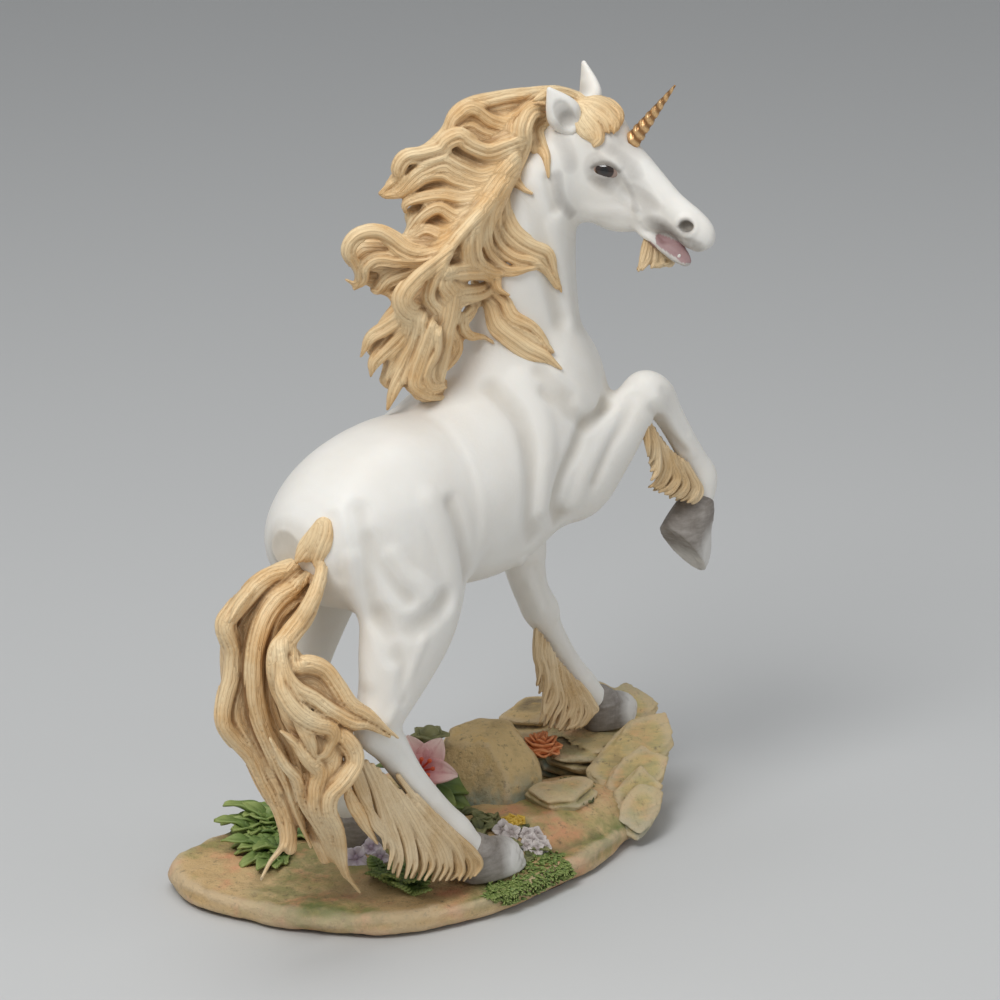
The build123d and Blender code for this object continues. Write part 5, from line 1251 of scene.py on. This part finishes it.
ground = Clay((-106, -60, -1), (106, 59, 27), 0.8 * COARSE)
gx, gy, gz = ground.ticks()
px, py = np.meshgrid(gx, gy, indexing="ij")
plan = np.stack([px, py, 0 * px], -1)
edge = spline(np.vstack([np.column_stack([RIM, RIM[:, :1] * 0]), [[*RIM[0], 0]]]), 5)[:-1, :2]
side_distance = outline_distance(px, py, edge) + 0.8 * noise(plan, 13, 8, 2)
top = ground_height(px, py)
lip = 0.055 * (gz - 5.2) ** 2 + 0.9 * np.sin(gz * 0.9) * noise(plan, 22, 9, 1)[:, :, None]
wall = side_distance[:, :, None] + lip
roof = (gz - top[:, :, None]) * 0.9
ground.d = -melt(-np.maximum(roof, 1.0 - gz), -wall, 2.6).astype(np.float32)
cx, cy, cz = np.meshgrid(gx, gy, gz, indexing="ij")
close = np.abs(ground.d) < 2.5
spots = np.stack([cx[close], cy[close], cz[close] * 1.5], -1)
ground.d[close] += (0.55 * noise(spots, 6.5, 12, 4)).astype(np.float32)
ground.groove([(-60, -50, 8.5, .7, 2), (-40, -51, 9, .8, 3), (-15, -50, 9.5, .8, 2), (4, -47, 10, .6, 2)], 1.2)
points, quads = ground.skin()
mossy = np.clip(1 - np.abs(points[:, 2] - 8.5) / 6, 0, 1) * np.clip(0.5 + noise(points, 30, 21, 2) * 1.6, 0, 1)
# The side wall is painted darker towards its foot, in patches.
wall_darker_low = 0.42 * np.clip((7.5 - points[:, 2]) / 4, 0, 1) * np.clip(0.45 + noise(points, 15, 33, 3), 0, 1)
piece("ground", points, quads, ["base_slab", "sand_mound"], sand,
      {"hollow": ground.at(points, ground.hollow(2.2)) - wall_darker_low, "mossy": mossy})


def boulder_piece(name, centre, half, nodes, seed, lean, ahead, power, bumps, layers, paint, step=0.75, wet=27):
    """A worn stone: a soft block with lumps, flat breaks and, for slate, ledges."""
    up = unit(np.array(lean, float))
    along = unit(np.array(ahead, float) - up * (np.array(ahead, float) @ up))
    axes = np.array([along, np.cross(up, along), up])
    half = np.array(half, float)
    clay = Clay(-half - 4, half + 4, step * COARSE, centre, axes)
    p = np.stack(np.meshgrid(*clay.ticks(), indexing="ij"), -1)
    wide = noise(p + seed * 31.0, 15, seed, 2)
    q = np.abs(p) / half
    ratio = (q[..., 0] ** power + q[..., 1] ** power + q[..., 2] ** power) ** (1 / power) + 1e-6
    size = np.linalg.norm(p, axis=-1)
    d = size * (1 - 1 / ratio) + bumps * wide
    rng = np.random.default_rng(seed)
    for _ in range(11):
        way = unit(rng.normal(size=3) * np.array([1, 1, 0.7]))
        d = -melt(-d, -(p @ way - np.abs(way * half).sum() * rng.uniform(0.50, 0.66)), 0.8)
    if layers:
        warp = p[..., 2] + 1.6 * noise(p, 17, seed + 1, 2) + 0.04 * p[..., 0]
        shelf = np.abs(((warp / layers + 0.25 * seed) % 1.0) - 0.5) * 2
        d = d + 0.55 * layers * shelf ** 3 + 0.35 * np.sin(warp * 2.1)
    d = d + 1.3 * noise(p * np.array([0.7, 1, 1.8 if layers else 1.0]), 9, seed + 3, 4)
    height = centre[2] + p @ axes[:, 2]
    d = -melt(-d, height - 3, 0.8)
    clay.d = np.clip(d, -FAR, FAR).astype(np.float32)
    points, quads = clay.skin()
    world = clay.outside(points)
    mossy = np.clip((wet - world[:, 2]) / 12, 0, 1) * np.clip(0.95 + noise(world, 12, seed + 9, 2), 0, 1)
    piece(name, world, quads, nodes, paint, {"hollow": clay.at(points, clay.hollow(1.8)), "mossy": mossy})


boulder_piece("boulder_front", (17.5, 9, 18), (25, 25, 21), ["boulder"], 11, (-0.1, 0.1, 1), (0.8, 0.6, 0),
              2.4, 3.2, 0.0, rock)
boulder_piece("boulder_rear", (64, 25, 19), (19, 15, 12.5), ["rear_rock"], 23, (0, 0.1, 1), (1, 0.2, 0),
              3.0, 1.8, 5.0, rock)
boulder_piece("ledge_heart", (70, 3, 15.5), (29, 22, 9.4), ["ledge_core"], 5, (0.02, -0.05, 1), (1, 0.1, 0),
              4.0, 1.0, 4.4, slate)


# Split slabs lean against the ledge; each row is name, centre, half size, long way, face, nodes and seed.
for name, centre, half, ahead, face, nodes, seed in [
        ("slate_upper", (81, 13, 26.0), (22, 13.5, 3.2), (41, 1, 10), (-0.32, -0.30, 0.9), ["ledge_slab_upper"], 31),
        ("slate_rim", (83, 1, 25.0), (22, 11.5, 3.0), (41, 3.5, 11), (-0.34, -0.38, 0.86), (), 37),
        ("slate_front", (66, -19, 21.5), (29, 10.5, 3.6), (53, 4, 18), (-0.36, -0.46, 0.81), ["ledge_slab_front"], 8),
        ("slate_middle", (63, -26.5, 17.0), (23, 8.5, 3.0), (40, 3, 12), (-0.30, -0.56, 0.78),
         ["ledge_slab_middle"], 13),
        ("slate_lower", (57.5, -34, 12.6), (17, 8.0, 3.8), (29, 5, 8), (-0.22, -0.62, 0.76), ["ledge_slab_lower"], 17),
        ("slate_foot", (48.5, -40, 9.4), (15, 7.0, 3.2), (25, 5.5, 5), (-0.18, -0.60, 0.78), (), 19)]:
    boulder_piece(name, centre, half, nodes, seed, face, ahead, 4.5, 0.7, 3.1, slate, 0.6, 16)
boulder_piece("stone_flat", (29, -23, 16), (16.5, 11, 5.6), ["flat_stone"], 29, (-0.04, -0.12, 1), (1, 0.1, 0), 3.4,
              0.9, 3.6, slate, 0.6, 20)


# Flowers and leaves.
def petal_material(name, root, middle, tip, dark, streak=0.6):
    """Painted petal or leaf: colour runs from root to tip, with fine veins and a dark wash at the root."""
    p = Paint(name)
    colour = p.mix(p.band(p.painted("along"), 0.0, 0.45), root, middle)
    colour = p.mix(p.band(p.painted("along"), 0.45, 1.0), colour, tip)
    veins = p.times(p.band(p.painted("strand"), 0.3, 1.0), p.band(p.grain(1.4, 4), 0.3, 0.7, 0.3, 1.0))
    colour = p.mix(p.times(veins, streak), colour, dark)
    colour = p.mix(p.band(p.grain(3.2, 4, 0.6), 0.55, 0.8, 0.0, 0.5), colour, dark)
    p.set(Specular_IOR_Level=0.4)
    height = p.plus(p.times(p.painted("strand"), -1.0), p.times(p.grain(0.8, 4), 0.5))
    return p.finish(colour, p.band(p.grain(1.2, 4), 0.3, 0.7, 0.4, 0.6), height, 0.5, 0.3)


def shell(grid, thick):
    """A closed thin shell over a grid of points."""
    n, m = grid.shape[:2]
    normal = unit(np.cross(np.gradient(grid, axis=0), np.gradient(grid, axis=1)))
    points = np.concatenate([(grid + normal * thick / 2).reshape(-1, 3), (grid - normal * thick / 2).reshape(-1, 3)])
    index = np.arange(n * m).reshape(n, m)
    a, b, c, d = index[:-1, :-1].ravel(), index[1:, :-1].ravel(), index[1:, 1:].ravel(), index[:-1, 1:].ravel()
    faces = [np.column_stack([a, b, c, d]), np.column_stack([d, c, b, a]) + n * m]
    edge = np.concatenate([index[:, 0], index[-1, 1:], index[-2::-1, -1], index[0, -2:0:-1]])
    after = np.roll(edge, -1)
    faces.append(np.column_stack([after, edge, edge + n * m, after + n * m]))
    return points, np.vstack(faces)


def petal(origin, way, up, length, width, lift=0.0, cup=0.15, curl=0.2, thick=0.8, point=0.7,
          waves=0.0, n=12, m=9, seed=0):
    """A petal or leaf that leaves its origin along way, with up as its upper side."""
    way = unit(way)
    up = unit(np.asarray(up) - way * (np.asarray(up) @ way))
    side = np.cross(up, way)
    s, t = np.meshgrid(np.linspace(0, 1, n), np.linspace(-1, 1, m), indexing="ij")
    half = width / 2 * (np.sin(np.pi * np.clip(s, 0.04, 0.985) ** point) ** 0.75 + 0.06)
    y = half * t
    angle = lift - curl * s
    run = np.concatenate([[0], np.cumsum(np.cos(angle[1:, 0]) / (n - 1))]) * length
    rise = np.concatenate([[0], np.cumsum(np.sin(angle[1:, 0]) / (n - 1))]) * length
    z = rise[:, None] + cup * width * (t * t) * np.sin(np.pi * s) + waves * width * np.sin(s * 9 + seed
            + t * 1.5) * np.abs(t)
    grid = np.asarray(origin) + run[:, None, None] * way + y[..., None] * side + z[..., None] * up
    points, faces = shell(grid, thick)
    vein = np.clip(1 - np.abs(t) * 5, 0, 1) * 0.8 + 0.5 * (0.5 + 0.5 * np.cos(t * 14 + s * 5)) ** 3
    return points, faces, {"along": np.tile(s.ravel(), 2), "strand": np.tile(vein.ravel(), 2)}


def bead(centre, radii, along):
    """A small rounded bud."""
    rings, around = 8, 12
    i, j = np.meshgrid(np.linspace(0, math.pi, rings), np.linspace(0, 2 * math.pi, around,
                                                                   endpoint=False), indexing="ij")
    points = np.stack([np.sin(i) * np.cos(j), np.sin(i) * np.sin(j), -np.cos(i)],
                      -1) * np.array(radii) + np.array(centre)
    count = rings * around
    return points.reshape(-1, 3), ring_faces(rings, around), {"along": np.full(count, along), "strand": np.zeros(count)}


def stem(start, end, radius, bend=(0, 0, 0), along=0.2):
    """A short curved stalk."""
    start, end = np.array(start, float), np.array(end, float)
    middle = (start + end) / 2 + np.array(bend, float)
    path = spline([start, middle, end], 5)
    way = unit(np.gradient(path, axis=0))
    one = unit(np.cross(way, [0.3, 0.2, 0.9]))
    two = np.cross(way, one)
    around = 8
    turn = np.linspace(0, 2 * math.pi, around, endpoint=False)
    cosine, sine = np.cos(turn)[None, :, None], np.sin(turn)[None, :, None]
    points = path[:, None] + radius * (cosine * one[:, None] + sine * two[:, None])
    count = len(path) * around
    return points.reshape(-1, 3), ring_faces(len(path), around), {"along": np.full(count, along),
                                                                  "strand": np.zeros(count)}


# Height of the ground where a plant's pixel misses it.
GROUND_LEVEL = 9.5


def planted(name, parts, material, nodes):
    """One piece of many petals, stems and buds."""
    points, faces, paint = gather(parts)
    piece(name, points, faces, nodes, material, paint)


def sown(column, row):
    """The point of the ground under a pixel; a pixel off the ground is taken on its level."""
    found = ground.touch([(column, row)])[0]
    if np.isnan(found[0]):
        found = on_plane(column, row, 2, GROUND_LEVEL)
    return found - UPWARD * 0.3


pink = petal_material("pink_petal", (0.50, 0.10, 0.14), (0.72, 0.40, 0.39), (0.80, 0.62, 0.55), (0.46, 0.10, 0.12), 0.7)
red = petal_material("red_stamen", (0.35, 0.03, 0.02), (0.55, 0.06, 0.03), (0.62, 0.10, 0.03), (0.2, 0.01, 0.01))
orange = petal_material("orange_petal", (0.24, 0.055, 0.02), (0.62, 0.20, 0.07), (0.76, 0.31, 0.13),
                        (0.34, 0.09, 0.03), 0.5)
lilac = petal_material("lilac_petal", (0.25, 0.17, 0.24), (0.56, 0.49, 0.56), (0.70, 0.65, 0.66),
                       (0.24, 0.17, 0.22), 0.4)
pale = petal_material("pale_petal", (0.30, 0.24, 0.22), (0.58, 0.52, 0.50), (0.70, 0.64, 0.60), (0.22, 0.17, 0.14), 0.4)
yellow = petal_material("yellow_petal", (0.35, 0.20, 0.02), (0.66, 0.42, 0.05), (0.72, 0.50, 0.10),
                        (0.30, 0.14, 0.02), 0.3)
green = petal_material("green_leaf", (0.03, 0.055, 0.015), (0.085, 0.14, 0.03), (0.22, 0.27, 0.07),
                       (0.025, 0.04, 0.012), 0.6)
bright = petal_material("bright_leaf", (0.05, 0.085, 0.02), (0.13, 0.20, 0.045), (0.30, 0.36, 0.11),
                        (0.035, 0.06, 0.015), 0.6)
olive = petal_material("olive_leaf", (0.05, 0.055, 0.02), (0.13, 0.14, 0.05), (0.28, 0.27, 0.12),
                       (0.03, 0.03, 0.012), 0.6)

rng = np.random.default_rng(41)
# Directions are drawn from nearly a full turn, in radians.
ALL_ROUND = 6.28
LILY = np.array([-12.5, 8.0, 29.5])
lily_way = unit([-0.30, -0.78, 0.55])
lily_side = unit(np.cross(lily_way, UPWARD))
lily_up = np.cross(lily_side, lily_way)
parts = []
for k, (turn, long, wide) in enumerate([(15, 14.5, 8.5), (75, 14, 9.5), (135, 14.5, 9.5), (200, 14, 8.5),
                                        (262, 11, 7), (318, 15, 8.5)]):
    turn = math.radians(turn)
    out = lily_side * math.cos(turn) + lily_up * math.sin(turn)
    parts.append(petal(LILY + out * 0.8 + lily_way * (0.3 * (k % 2)), out + lily_way * 0.25, lily_way, long, wide, 0.75,
                       0.20, 1.0, 0.9, 0.72, 0.02, 14, 11, k))
parts.append(bead(LILY - lily_way * 0.5, (2.2, 2.2, 2.0), 0.1))
planted("lily_petals", parts, pink, ["lily_petals"])
parts = []
for k in range(6):
    turn = math.radians(60 * k + 20)
    end = LILY + lily_way * 8.0 + (lily_side * math.cos(turn) + lily_up * math.sin(turn)) * 3.0
    parts += [stem(LILY, end, 0.42, lily_way * 0.8, 0.5), bead(end, (0.9, 0.8, 0.8), 0.9)]
planted("lily_stamens", parts, red, ["lily_stamens"])
bud = np.array([-1.5, 13.0, 35.0])
parts = []
for turn in np.radians((20, 90, 160, 235, 305)):
    x, y = math.cos(turn), math.sin(turn)
    parts.append(petal(bud, (x * 0.75, y * 0.75, 1.5), (x, y, -0.3), 9.0, 8.0, 0.0, -0.30, -0.95, 0.9, 0.85))
parts += [bead(bud + UPWARD * 3.4, (3.9, 3.9, 4.6), 0.8), stem(bud + UPWARD, (-3, 12, 12), 1.5, (-1.5, 0, 0))]
planted("lily_bud", parts, olive, ["lily_bud"])
parts = [stem(LILY - lily_way * 0.5, (-11, 11, 10), 1.5, (0, 2, 0))]
for foot, way, up, long, wide, lift, curl in [
        ((-7, 6.5, 24.0), (0.80, -0.58, -0.10), (-0.2, -0.5, 0.8), 16, 9.5, 0.25, 0.9),
        ((-8, 5, 20.5), (0.62, -0.72, -0.15), (-0.2, -0.5, 0.8), 15, 8.5, 0.1, 0.7),
        ((-10, 5.5, 23), (0.3, -0.9, -0.2), (-0.3, -0.3, 0.9), 12, 7.5, 0.3, 1.0),
        ((-11, 14, 25), (-0.2, 0.9, 0.3), (0, 0.2, 1), 15, 8, 0.4, 1.1),
        ((-13, 11, 19), (-0.9, 0.4, 0.2), (-0.2, 0, 1), 14, 8, 0.4, 1.2),
        ((-12, 8, 13.5), (-0.6, -0.7, 0.2), (-0.2, 0, 1), 13, 7, 0.5, 1.2)]:
    parts.append(petal(foot, way, up, long, wide, lift, 0.16, curl, 1.0, 0.75, 0.04, 14, 9, int(long)))
planted("lily_leaves", parts, green, ["lily_leaves"])

# The rose: cupped petals wound round a tight heart.
rose_foot = on_plane(541.5, 756, 2, 22.5)
parts = [bead(rose_foot + UPWARD * 3.2, (4.6, 4.6, 3.6), 0.05)]
for ring, (count, radius, high, lean) in enumerate([(3, 1.0, 8.2, 0.1), (4, 2.2, 7.9, 0.25), (5, 3.6, 7.2, 0.5),
                                                    (6, 5.0, 6.0, 0.85), (7, 6.0, 4.4, 1.15)]):
    for k in range(count):
        turn = 2 * math.pi * (k + 0.37 * ring) / count
        out = np.array([math.cos(turn), math.sin(turn), 0])
        foot = rose_foot + out * radius * 0.55 + UPWARD * 0.8
        way = out * math.sin(lean * 0.7) + UPWARD * math.cos(lean * 0.7)
        parts.append(petal(foot, way, -out, high, 2.0 + radius * 1.25, 0.0, 0.34, 0.35 + lean * 0.3, 0.7, 0.85,
                           0.03, 10, 9, ring + k))
planted("rose_orange", parts, orange, ["rose"])


def blossom(foot, radius, count, up):
    """A small open flower with round petals."""
    up = unit(up)
    one = unit(np.cross(up, [0.4, 0.9, 0.1]))
    two = np.cross(up, one)
    spin = rng.uniform(0, 6)
    made = []
    for k in range(count):
        turn = spin + 2 * math.pi * k / count
        out = one * math.cos(turn) + two * math.sin(turn)
        made.append(petal(foot + out * 0.3, out, up, radius, radius * 0.95, 0.45, 0.22, 0.5, 0.7, 0.9, 0, 7, 7))
    return made


view = -FORWARD * np.array([1, 1, 1.6])
for name, paint, slot, node, down, high, heart, heart_high, shade, flowers in [
        ("blossoms_pale", pale, "resin_violet", "pale_blossoms", 4, 1.5, (1.0, 1.0, 1.1), 0.0, 0.2,
         [(503, 829, 3.6), (511, 832, 3.4), (527, 834, 2.7), (535, 833, 2.6), (531, 840, 2.7), (540, 841, 2.6),
          (536, 848, 2.7), (544, 846, 2.5), (526, 844, 2.3)]),
        ("blossoms_yellow", yellow, "resin_yellow", "yellow_blossoms", 4, 2.0, (0.8, 0.8, 0.9), 0.2, 0.9,
         [(506, 822, 1.9), (511, 820, 1.9), (516, 823, 1.9), (520, 821, 1.9), (512, 825, 1.9)]),
        ("blossoms_violet", lilac, "resin_violet", "violet_blossoms", 5, 2.2, (1.1, 1.1, 1.3), 0.0, 0.15,
         [(356, 858, 4.4), (371, 848, 3.6), (380, 858, 3.4), (352, 845, 3.2)])]:
    parts = []
    for column, row, radius in flowers:
        foot = sown(column, row + down) + UPWARD * high
        parts += blossom(foot, radius, 4 if radius > 3 else 5, view)
        parts.append(bead(foot + UPWARD * heart_high, heart, shade))
    planted(name, parts, paint, [node])


def frond(foot, way, up, length, width, pairs, seed):
    """A fern leaf: a midrib with small leaflets on both sides."""
    way, up = unit(way), unit(up)
    made = []
    for k in range(pairs):
        s = (k + 0.6) / pairs
        spot = np.array(foot) + way * length * s + up * length * (0.30 * s - 0.34 * s * s)
        side = np.cross(up, way)
        size = width * (0.35 + 0.65 * math.sin(math.pi * min(s * 0.85 + 0.15, 1)))
        for hand in (-1, 1):
            made.append(petal(spot, side * hand + way * 0.65 - up * 0.25, up, size / 2 + 0.9, size * 0.36 + 0.7,
                              0.35, 0.1, 0.9, 0.7, 0.8, 0.03, 6, 5, k + seed))
    tip = np.array(foot) + way * length * 0.92
    made.append(petal(tip - way, way, up, width * 0.55, width * 0.30, 0.0, 0.1, 0.4, 0.7, 0.8, 0, 6, 5))
    made.append(stem(foot, tip, 0.5, up * length * 0.07))
    return made


def clump(foot, count, length, seed):
    """Fronds that spread from one foot."""
    spread, width, pairs = 0.9, 6.0, 6
    pick = np.random.default_rng(seed)
    made = [bead(foot + UPWARD * 0.4, (3.0, 3.0, 2.4), 0.1)]
    for k in range(count):
        turn = 2 * math.pi * (k + pick.uniform(-0.2, 0.2)) / count
        x, y = math.cos(turn), math.sin(turn)
        way = np.array([x * spread, y * spread, pick.uniform(0.35, 0.75)])
        made += frond(foot, way, (-x * 0.4, -y * 0.4, 1), length * pick.uniform(0.8, 1.1), width, pairs, seed + k)
    return made


def rising(way, share):
    """The upper side of a leaf that grows along way."""
    return (-way[0] * share, -way[1] * share, 1)


parts = []
for k, (foot, tip, wide) in enumerate([
        ((-48, 45, 10), (-59, 54, 19), 9), ((-50, 44, 10), (-64, 51, 15), 8), ((-47, 40, 10), (-63, 47, 13), 8),
        ((-50, 34, 10), (-66, 43, 12.5), 9),
        ((-55, 32, 10), (-71, 38, 12), 8), ((-60, 27, 10), (-75, 32, 12), 8), ((-62, 24, 10), (-73, 25, 14.5), 7),
        ((-66, 22, 9.5), (-80, 24, 11.5), 8),
        ((-60, 40, 10), (-70, 47, 18), 7), ((-52, 40, 10), (-56, 48, 19), 7), ((-66, 30, 10), (-76, 37, 15), 6),
        ((-70, 20, 9.5), (-80, 16, 12), 6),
        ((-46, 38, 9.5), (-38, 44, 15), 8), ((-42, 34, 9.5), (-32, 37, 14), 8), ((-50, 30, 9.5), (-42, 24, 14), 7),
        ((-34, 32, 9.5), (-26, 26, 13), 7)]):
    foot, tip = np.array(foot, float), np.array(tip, float)
    span = np.linalg.norm(tip - foot)
    for turn, share in ((0, 1.0), (0.55, 0.72), (-0.6, 0.66), (1.15, 0.5), (-1.2, 0.5)):
        x, y, z = (tip - foot) / span
        c, s = math.cos(turn), math.sin(turn)
        way = np.array([x * c - y * s, x * s + y * c, z])
        parts.append(petal(foot + way * 1.5, way, rising(way, 0.4), span * share * 1.05, wide * (0.55 + 0.45 * share),
                           0.22, 0.16, 0.7, 0.8, 0.75, 0.09, 18, 11, k))
    parts.append(bead(foot, (2.6, 2.6, 2.2), 0.1))
planted("ferns_rear", parts, bright, ["ferns"])
parts = clump(sown(398, 884), 7, 12, 5) + clump(sown(384, 876), 4, 8, 6) + clump(sown(414, 892), 4, 8, 7)
planted("fern_front", parts, bright, ())
parts = []
for column, row, size in [(452, 808, 9), (462, 815, 10), (470, 822, 9), (482, 820, 10), (492, 816, 9), (480, 830, 9),
                          (498, 830, 8), (510, 846, 8), (520, 852, 8), (532, 858, 7),
                          (516, 860, 7), (504, 842, 7), (538, 850, 6), (447, 800, 9), (524, 828, 6), (490, 838, 8)]:
    foot = sown(column, row)
    for k in range(4):
        turn = rng.uniform(0, ALL_ROUND)
        way = np.array([math.cos(turn), math.sin(turn), rng.uniform(0.25, 0.7)])
        parts.append(petal(foot, way, rising(way, 0.5), size * rng.uniform(0.55, 0.85), size * 0.42, 0.25, 0.2, 0.9,
                           0.8, 0.75, 0.05, 9, 7, k))
planted("sprigs_middle", parts, olive, ["moss_patch"])
parts = []
for column, row in [(556, 766), (563, 772), (570, 768), (575, 778), (582, 784), (588, 792), (584, 802), (592, 800),
                    (578, 770), (566, 780)]:
    foot = sown(column, row + 3) + UPWARD * 0.6
    for k in range(3):
        turn = rng.uniform(0, ALL_ROUND)
        way = np.array([math.cos(turn), math.sin(turn), 0.35])
        parts.append(petal(foot, way, rising(way, 0.4), rng.uniform(3.5, 5), 2.8, 0.3, 0.25, 1.3, 0.7,
                           0.8, 0.06, 8, 7, k))
planted("sprigs_ledge", parts, olive, ())

# Moss: short blades combed over the rim.
MOSS_BLADES = 1000
parts = []
for _ in range(MOSS_BLADES):
    column = rng.uniform(486, 571)
    high = np.interp(column, (486, 515, 519, 542, 559, 571), (885, 879, 864, 850, 853, 872))
    low = np.interp(column, (486, 518, 542, 566, 571), (896, 909, 902, 888, 876))
    foot = ground.touch([(column, rng.uniform(high, low))])
    if not np.isnan(foot[0, 0]) and foot[0, 2] > 4:
        lean = ground.slope(foot)[0]
        way = unit(lean * 0.35 + np.array([rng.normal() * 0.5 - 0.2, -0.5 + rng.normal() * 0.4, 0.0]))
        parts.append(petal(foot[0] - lean * 0.3, way, lean, rng.uniform(1.8, 3.0), rng.uniform(0.7, 1.1), 0.2, 0.1, 0.7,
                           0.45, 0.7, 0, 5, 3))
planted("moss_rim", parts, bright, ())

# The felt under the base is the CAD node itself.
p = Paint("brown_felt")
fibres = p.grain(0.8, 6, 0.7)
nap = p.mix(p.band(fibres, 0.3, 0.7), (0.085, 0.060, 0.040), (0.16, 0.115, 0.078))
nap = p.mix(p.band(p.grain(9, 3), 0.4, 0.7, 0.0, 0.4), nap, (0.06, 0.045, 0.03))
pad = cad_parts["felt_pad"]
pad.data.materials.clear()
pad.data.materials.append(p.finish(nap, p.band(fibres, 0.3, 0.7, 0.85, 0.98), fibres, 0.6, 0.3))


# Floor, lamps and camera.
def lamp(name, place, energy, size):
    """A round soft lamp that shines on the middle of the figurine; places are in metres."""
    data = bpy.data.lights.new(name, "AREA")
    data.energy = energy
    data.shape = "DISK"
    data.size = size
    item = bpy.data.objects.new(name, data)
    item.location = place
    item.rotation_euler = (Vector((0, 0, 0.13)) - Vector(place)).to_track_quat("-Z", "Y").to_euler()
    bpy.context.scene.collection.objects.link(item)


def build_stage():
    """A pale floor that curves up into a backdrop, soft lamps and the camera."""
    floor_mesh = bpy.data.meshes.new("floor")
    reach, bend, half_width, wall_top, steps, flat_share = 3.0, 2.5, 7.0, 7.0, 24, 0.4
    rows = []
    for k in range(steps + 1):
        s = k / steps
        if s < flat_share:
            rows.append((-reach + 2 * reach * s / flat_share, 0.0))
        else:
            turn = (s - flat_share) / (1 - flat_share) * math.pi / 2
            rows.append((reach + bend * math.sin(turn), bend * (1 - math.cos(turn))))
    rows.append((reach + bend, wall_top))
    points, faces = [], []
    for k, (ahead, height) in enumerate(rows):
        for side in (-half_width, half_width):
            spot = FORWARD[:2] / np.linalg.norm(FORWARD[:2]) * ahead + RIGHT[:2] * side
            points.append((spot[0], spot[1], height))
        if k:
            a = 2 * k
            faces.append((a - 2, a - 1, a + 1, a))
    floor_mesh.from_pydata(points, [], faces)
    floor_mesh.polygons.foreach_set("use_smooth", [True] * len(faces))
    floor = bpy.data.objects.new("floor", floor_mesh)
    bpy.context.scene.collection.objects.link(floor)
    paper = bpy.data.materials.new("paper")
    paper.use_nodes = True
    shader = paper.node_tree.nodes["Principled BSDF"]
    shader.inputs["Base Color"].default_value = (0.56, 0.565, 0.56, 1)
    shader.inputs["Roughness"].default_value = 0.9
    floor_mesh.materials.append(paper)

    def from_camera(right, up, toward_camera):
        spot = RIGHT * right + UP * up - FORWARD * toward_camera
        return tuple(map(float, spot))

    lamp("key", from_camera(-0.45, 0.95, 1.25), 12.5, 0.7)
    lamp("fill", from_camera(1.3, 0.35, 0.9), 3.5, 1.2)
    lamp("top", (0.0, 0.1, 1.5), 5.0, 1.0)
    world = bpy.data.worlds.new("studio")
    world.use_nodes = True
    world.node_tree.nodes["Background"].inputs["Color"].default_value = (0.8, 0.82, 0.85, 1)
    world.node_tree.nodes["Background"].inputs["Strength"].default_value = 0.45
    bpy.context.scene.world = world

    data = bpy.data.cameras.new("camera")
    film, picture = 36.0, 1000
    data.sensor_width = film
    data.lens = film * FOCAL / picture
    data.clip_start = 0.05
    data.clip_end = 50
    camera = bpy.data.objects.new("camera", data)
    camera.location = Vector(EYE * MM)
    camera.rotation_euler = Vector(FORWARD).to_track_quat("-Z", "Y").to_euler()
    bpy.context.scene.collection.objects.link(camera)
    bpy.context.scene.camera = camera
    bpy.context.scene.view_settings.view_transform = "Standard"


build_stage()
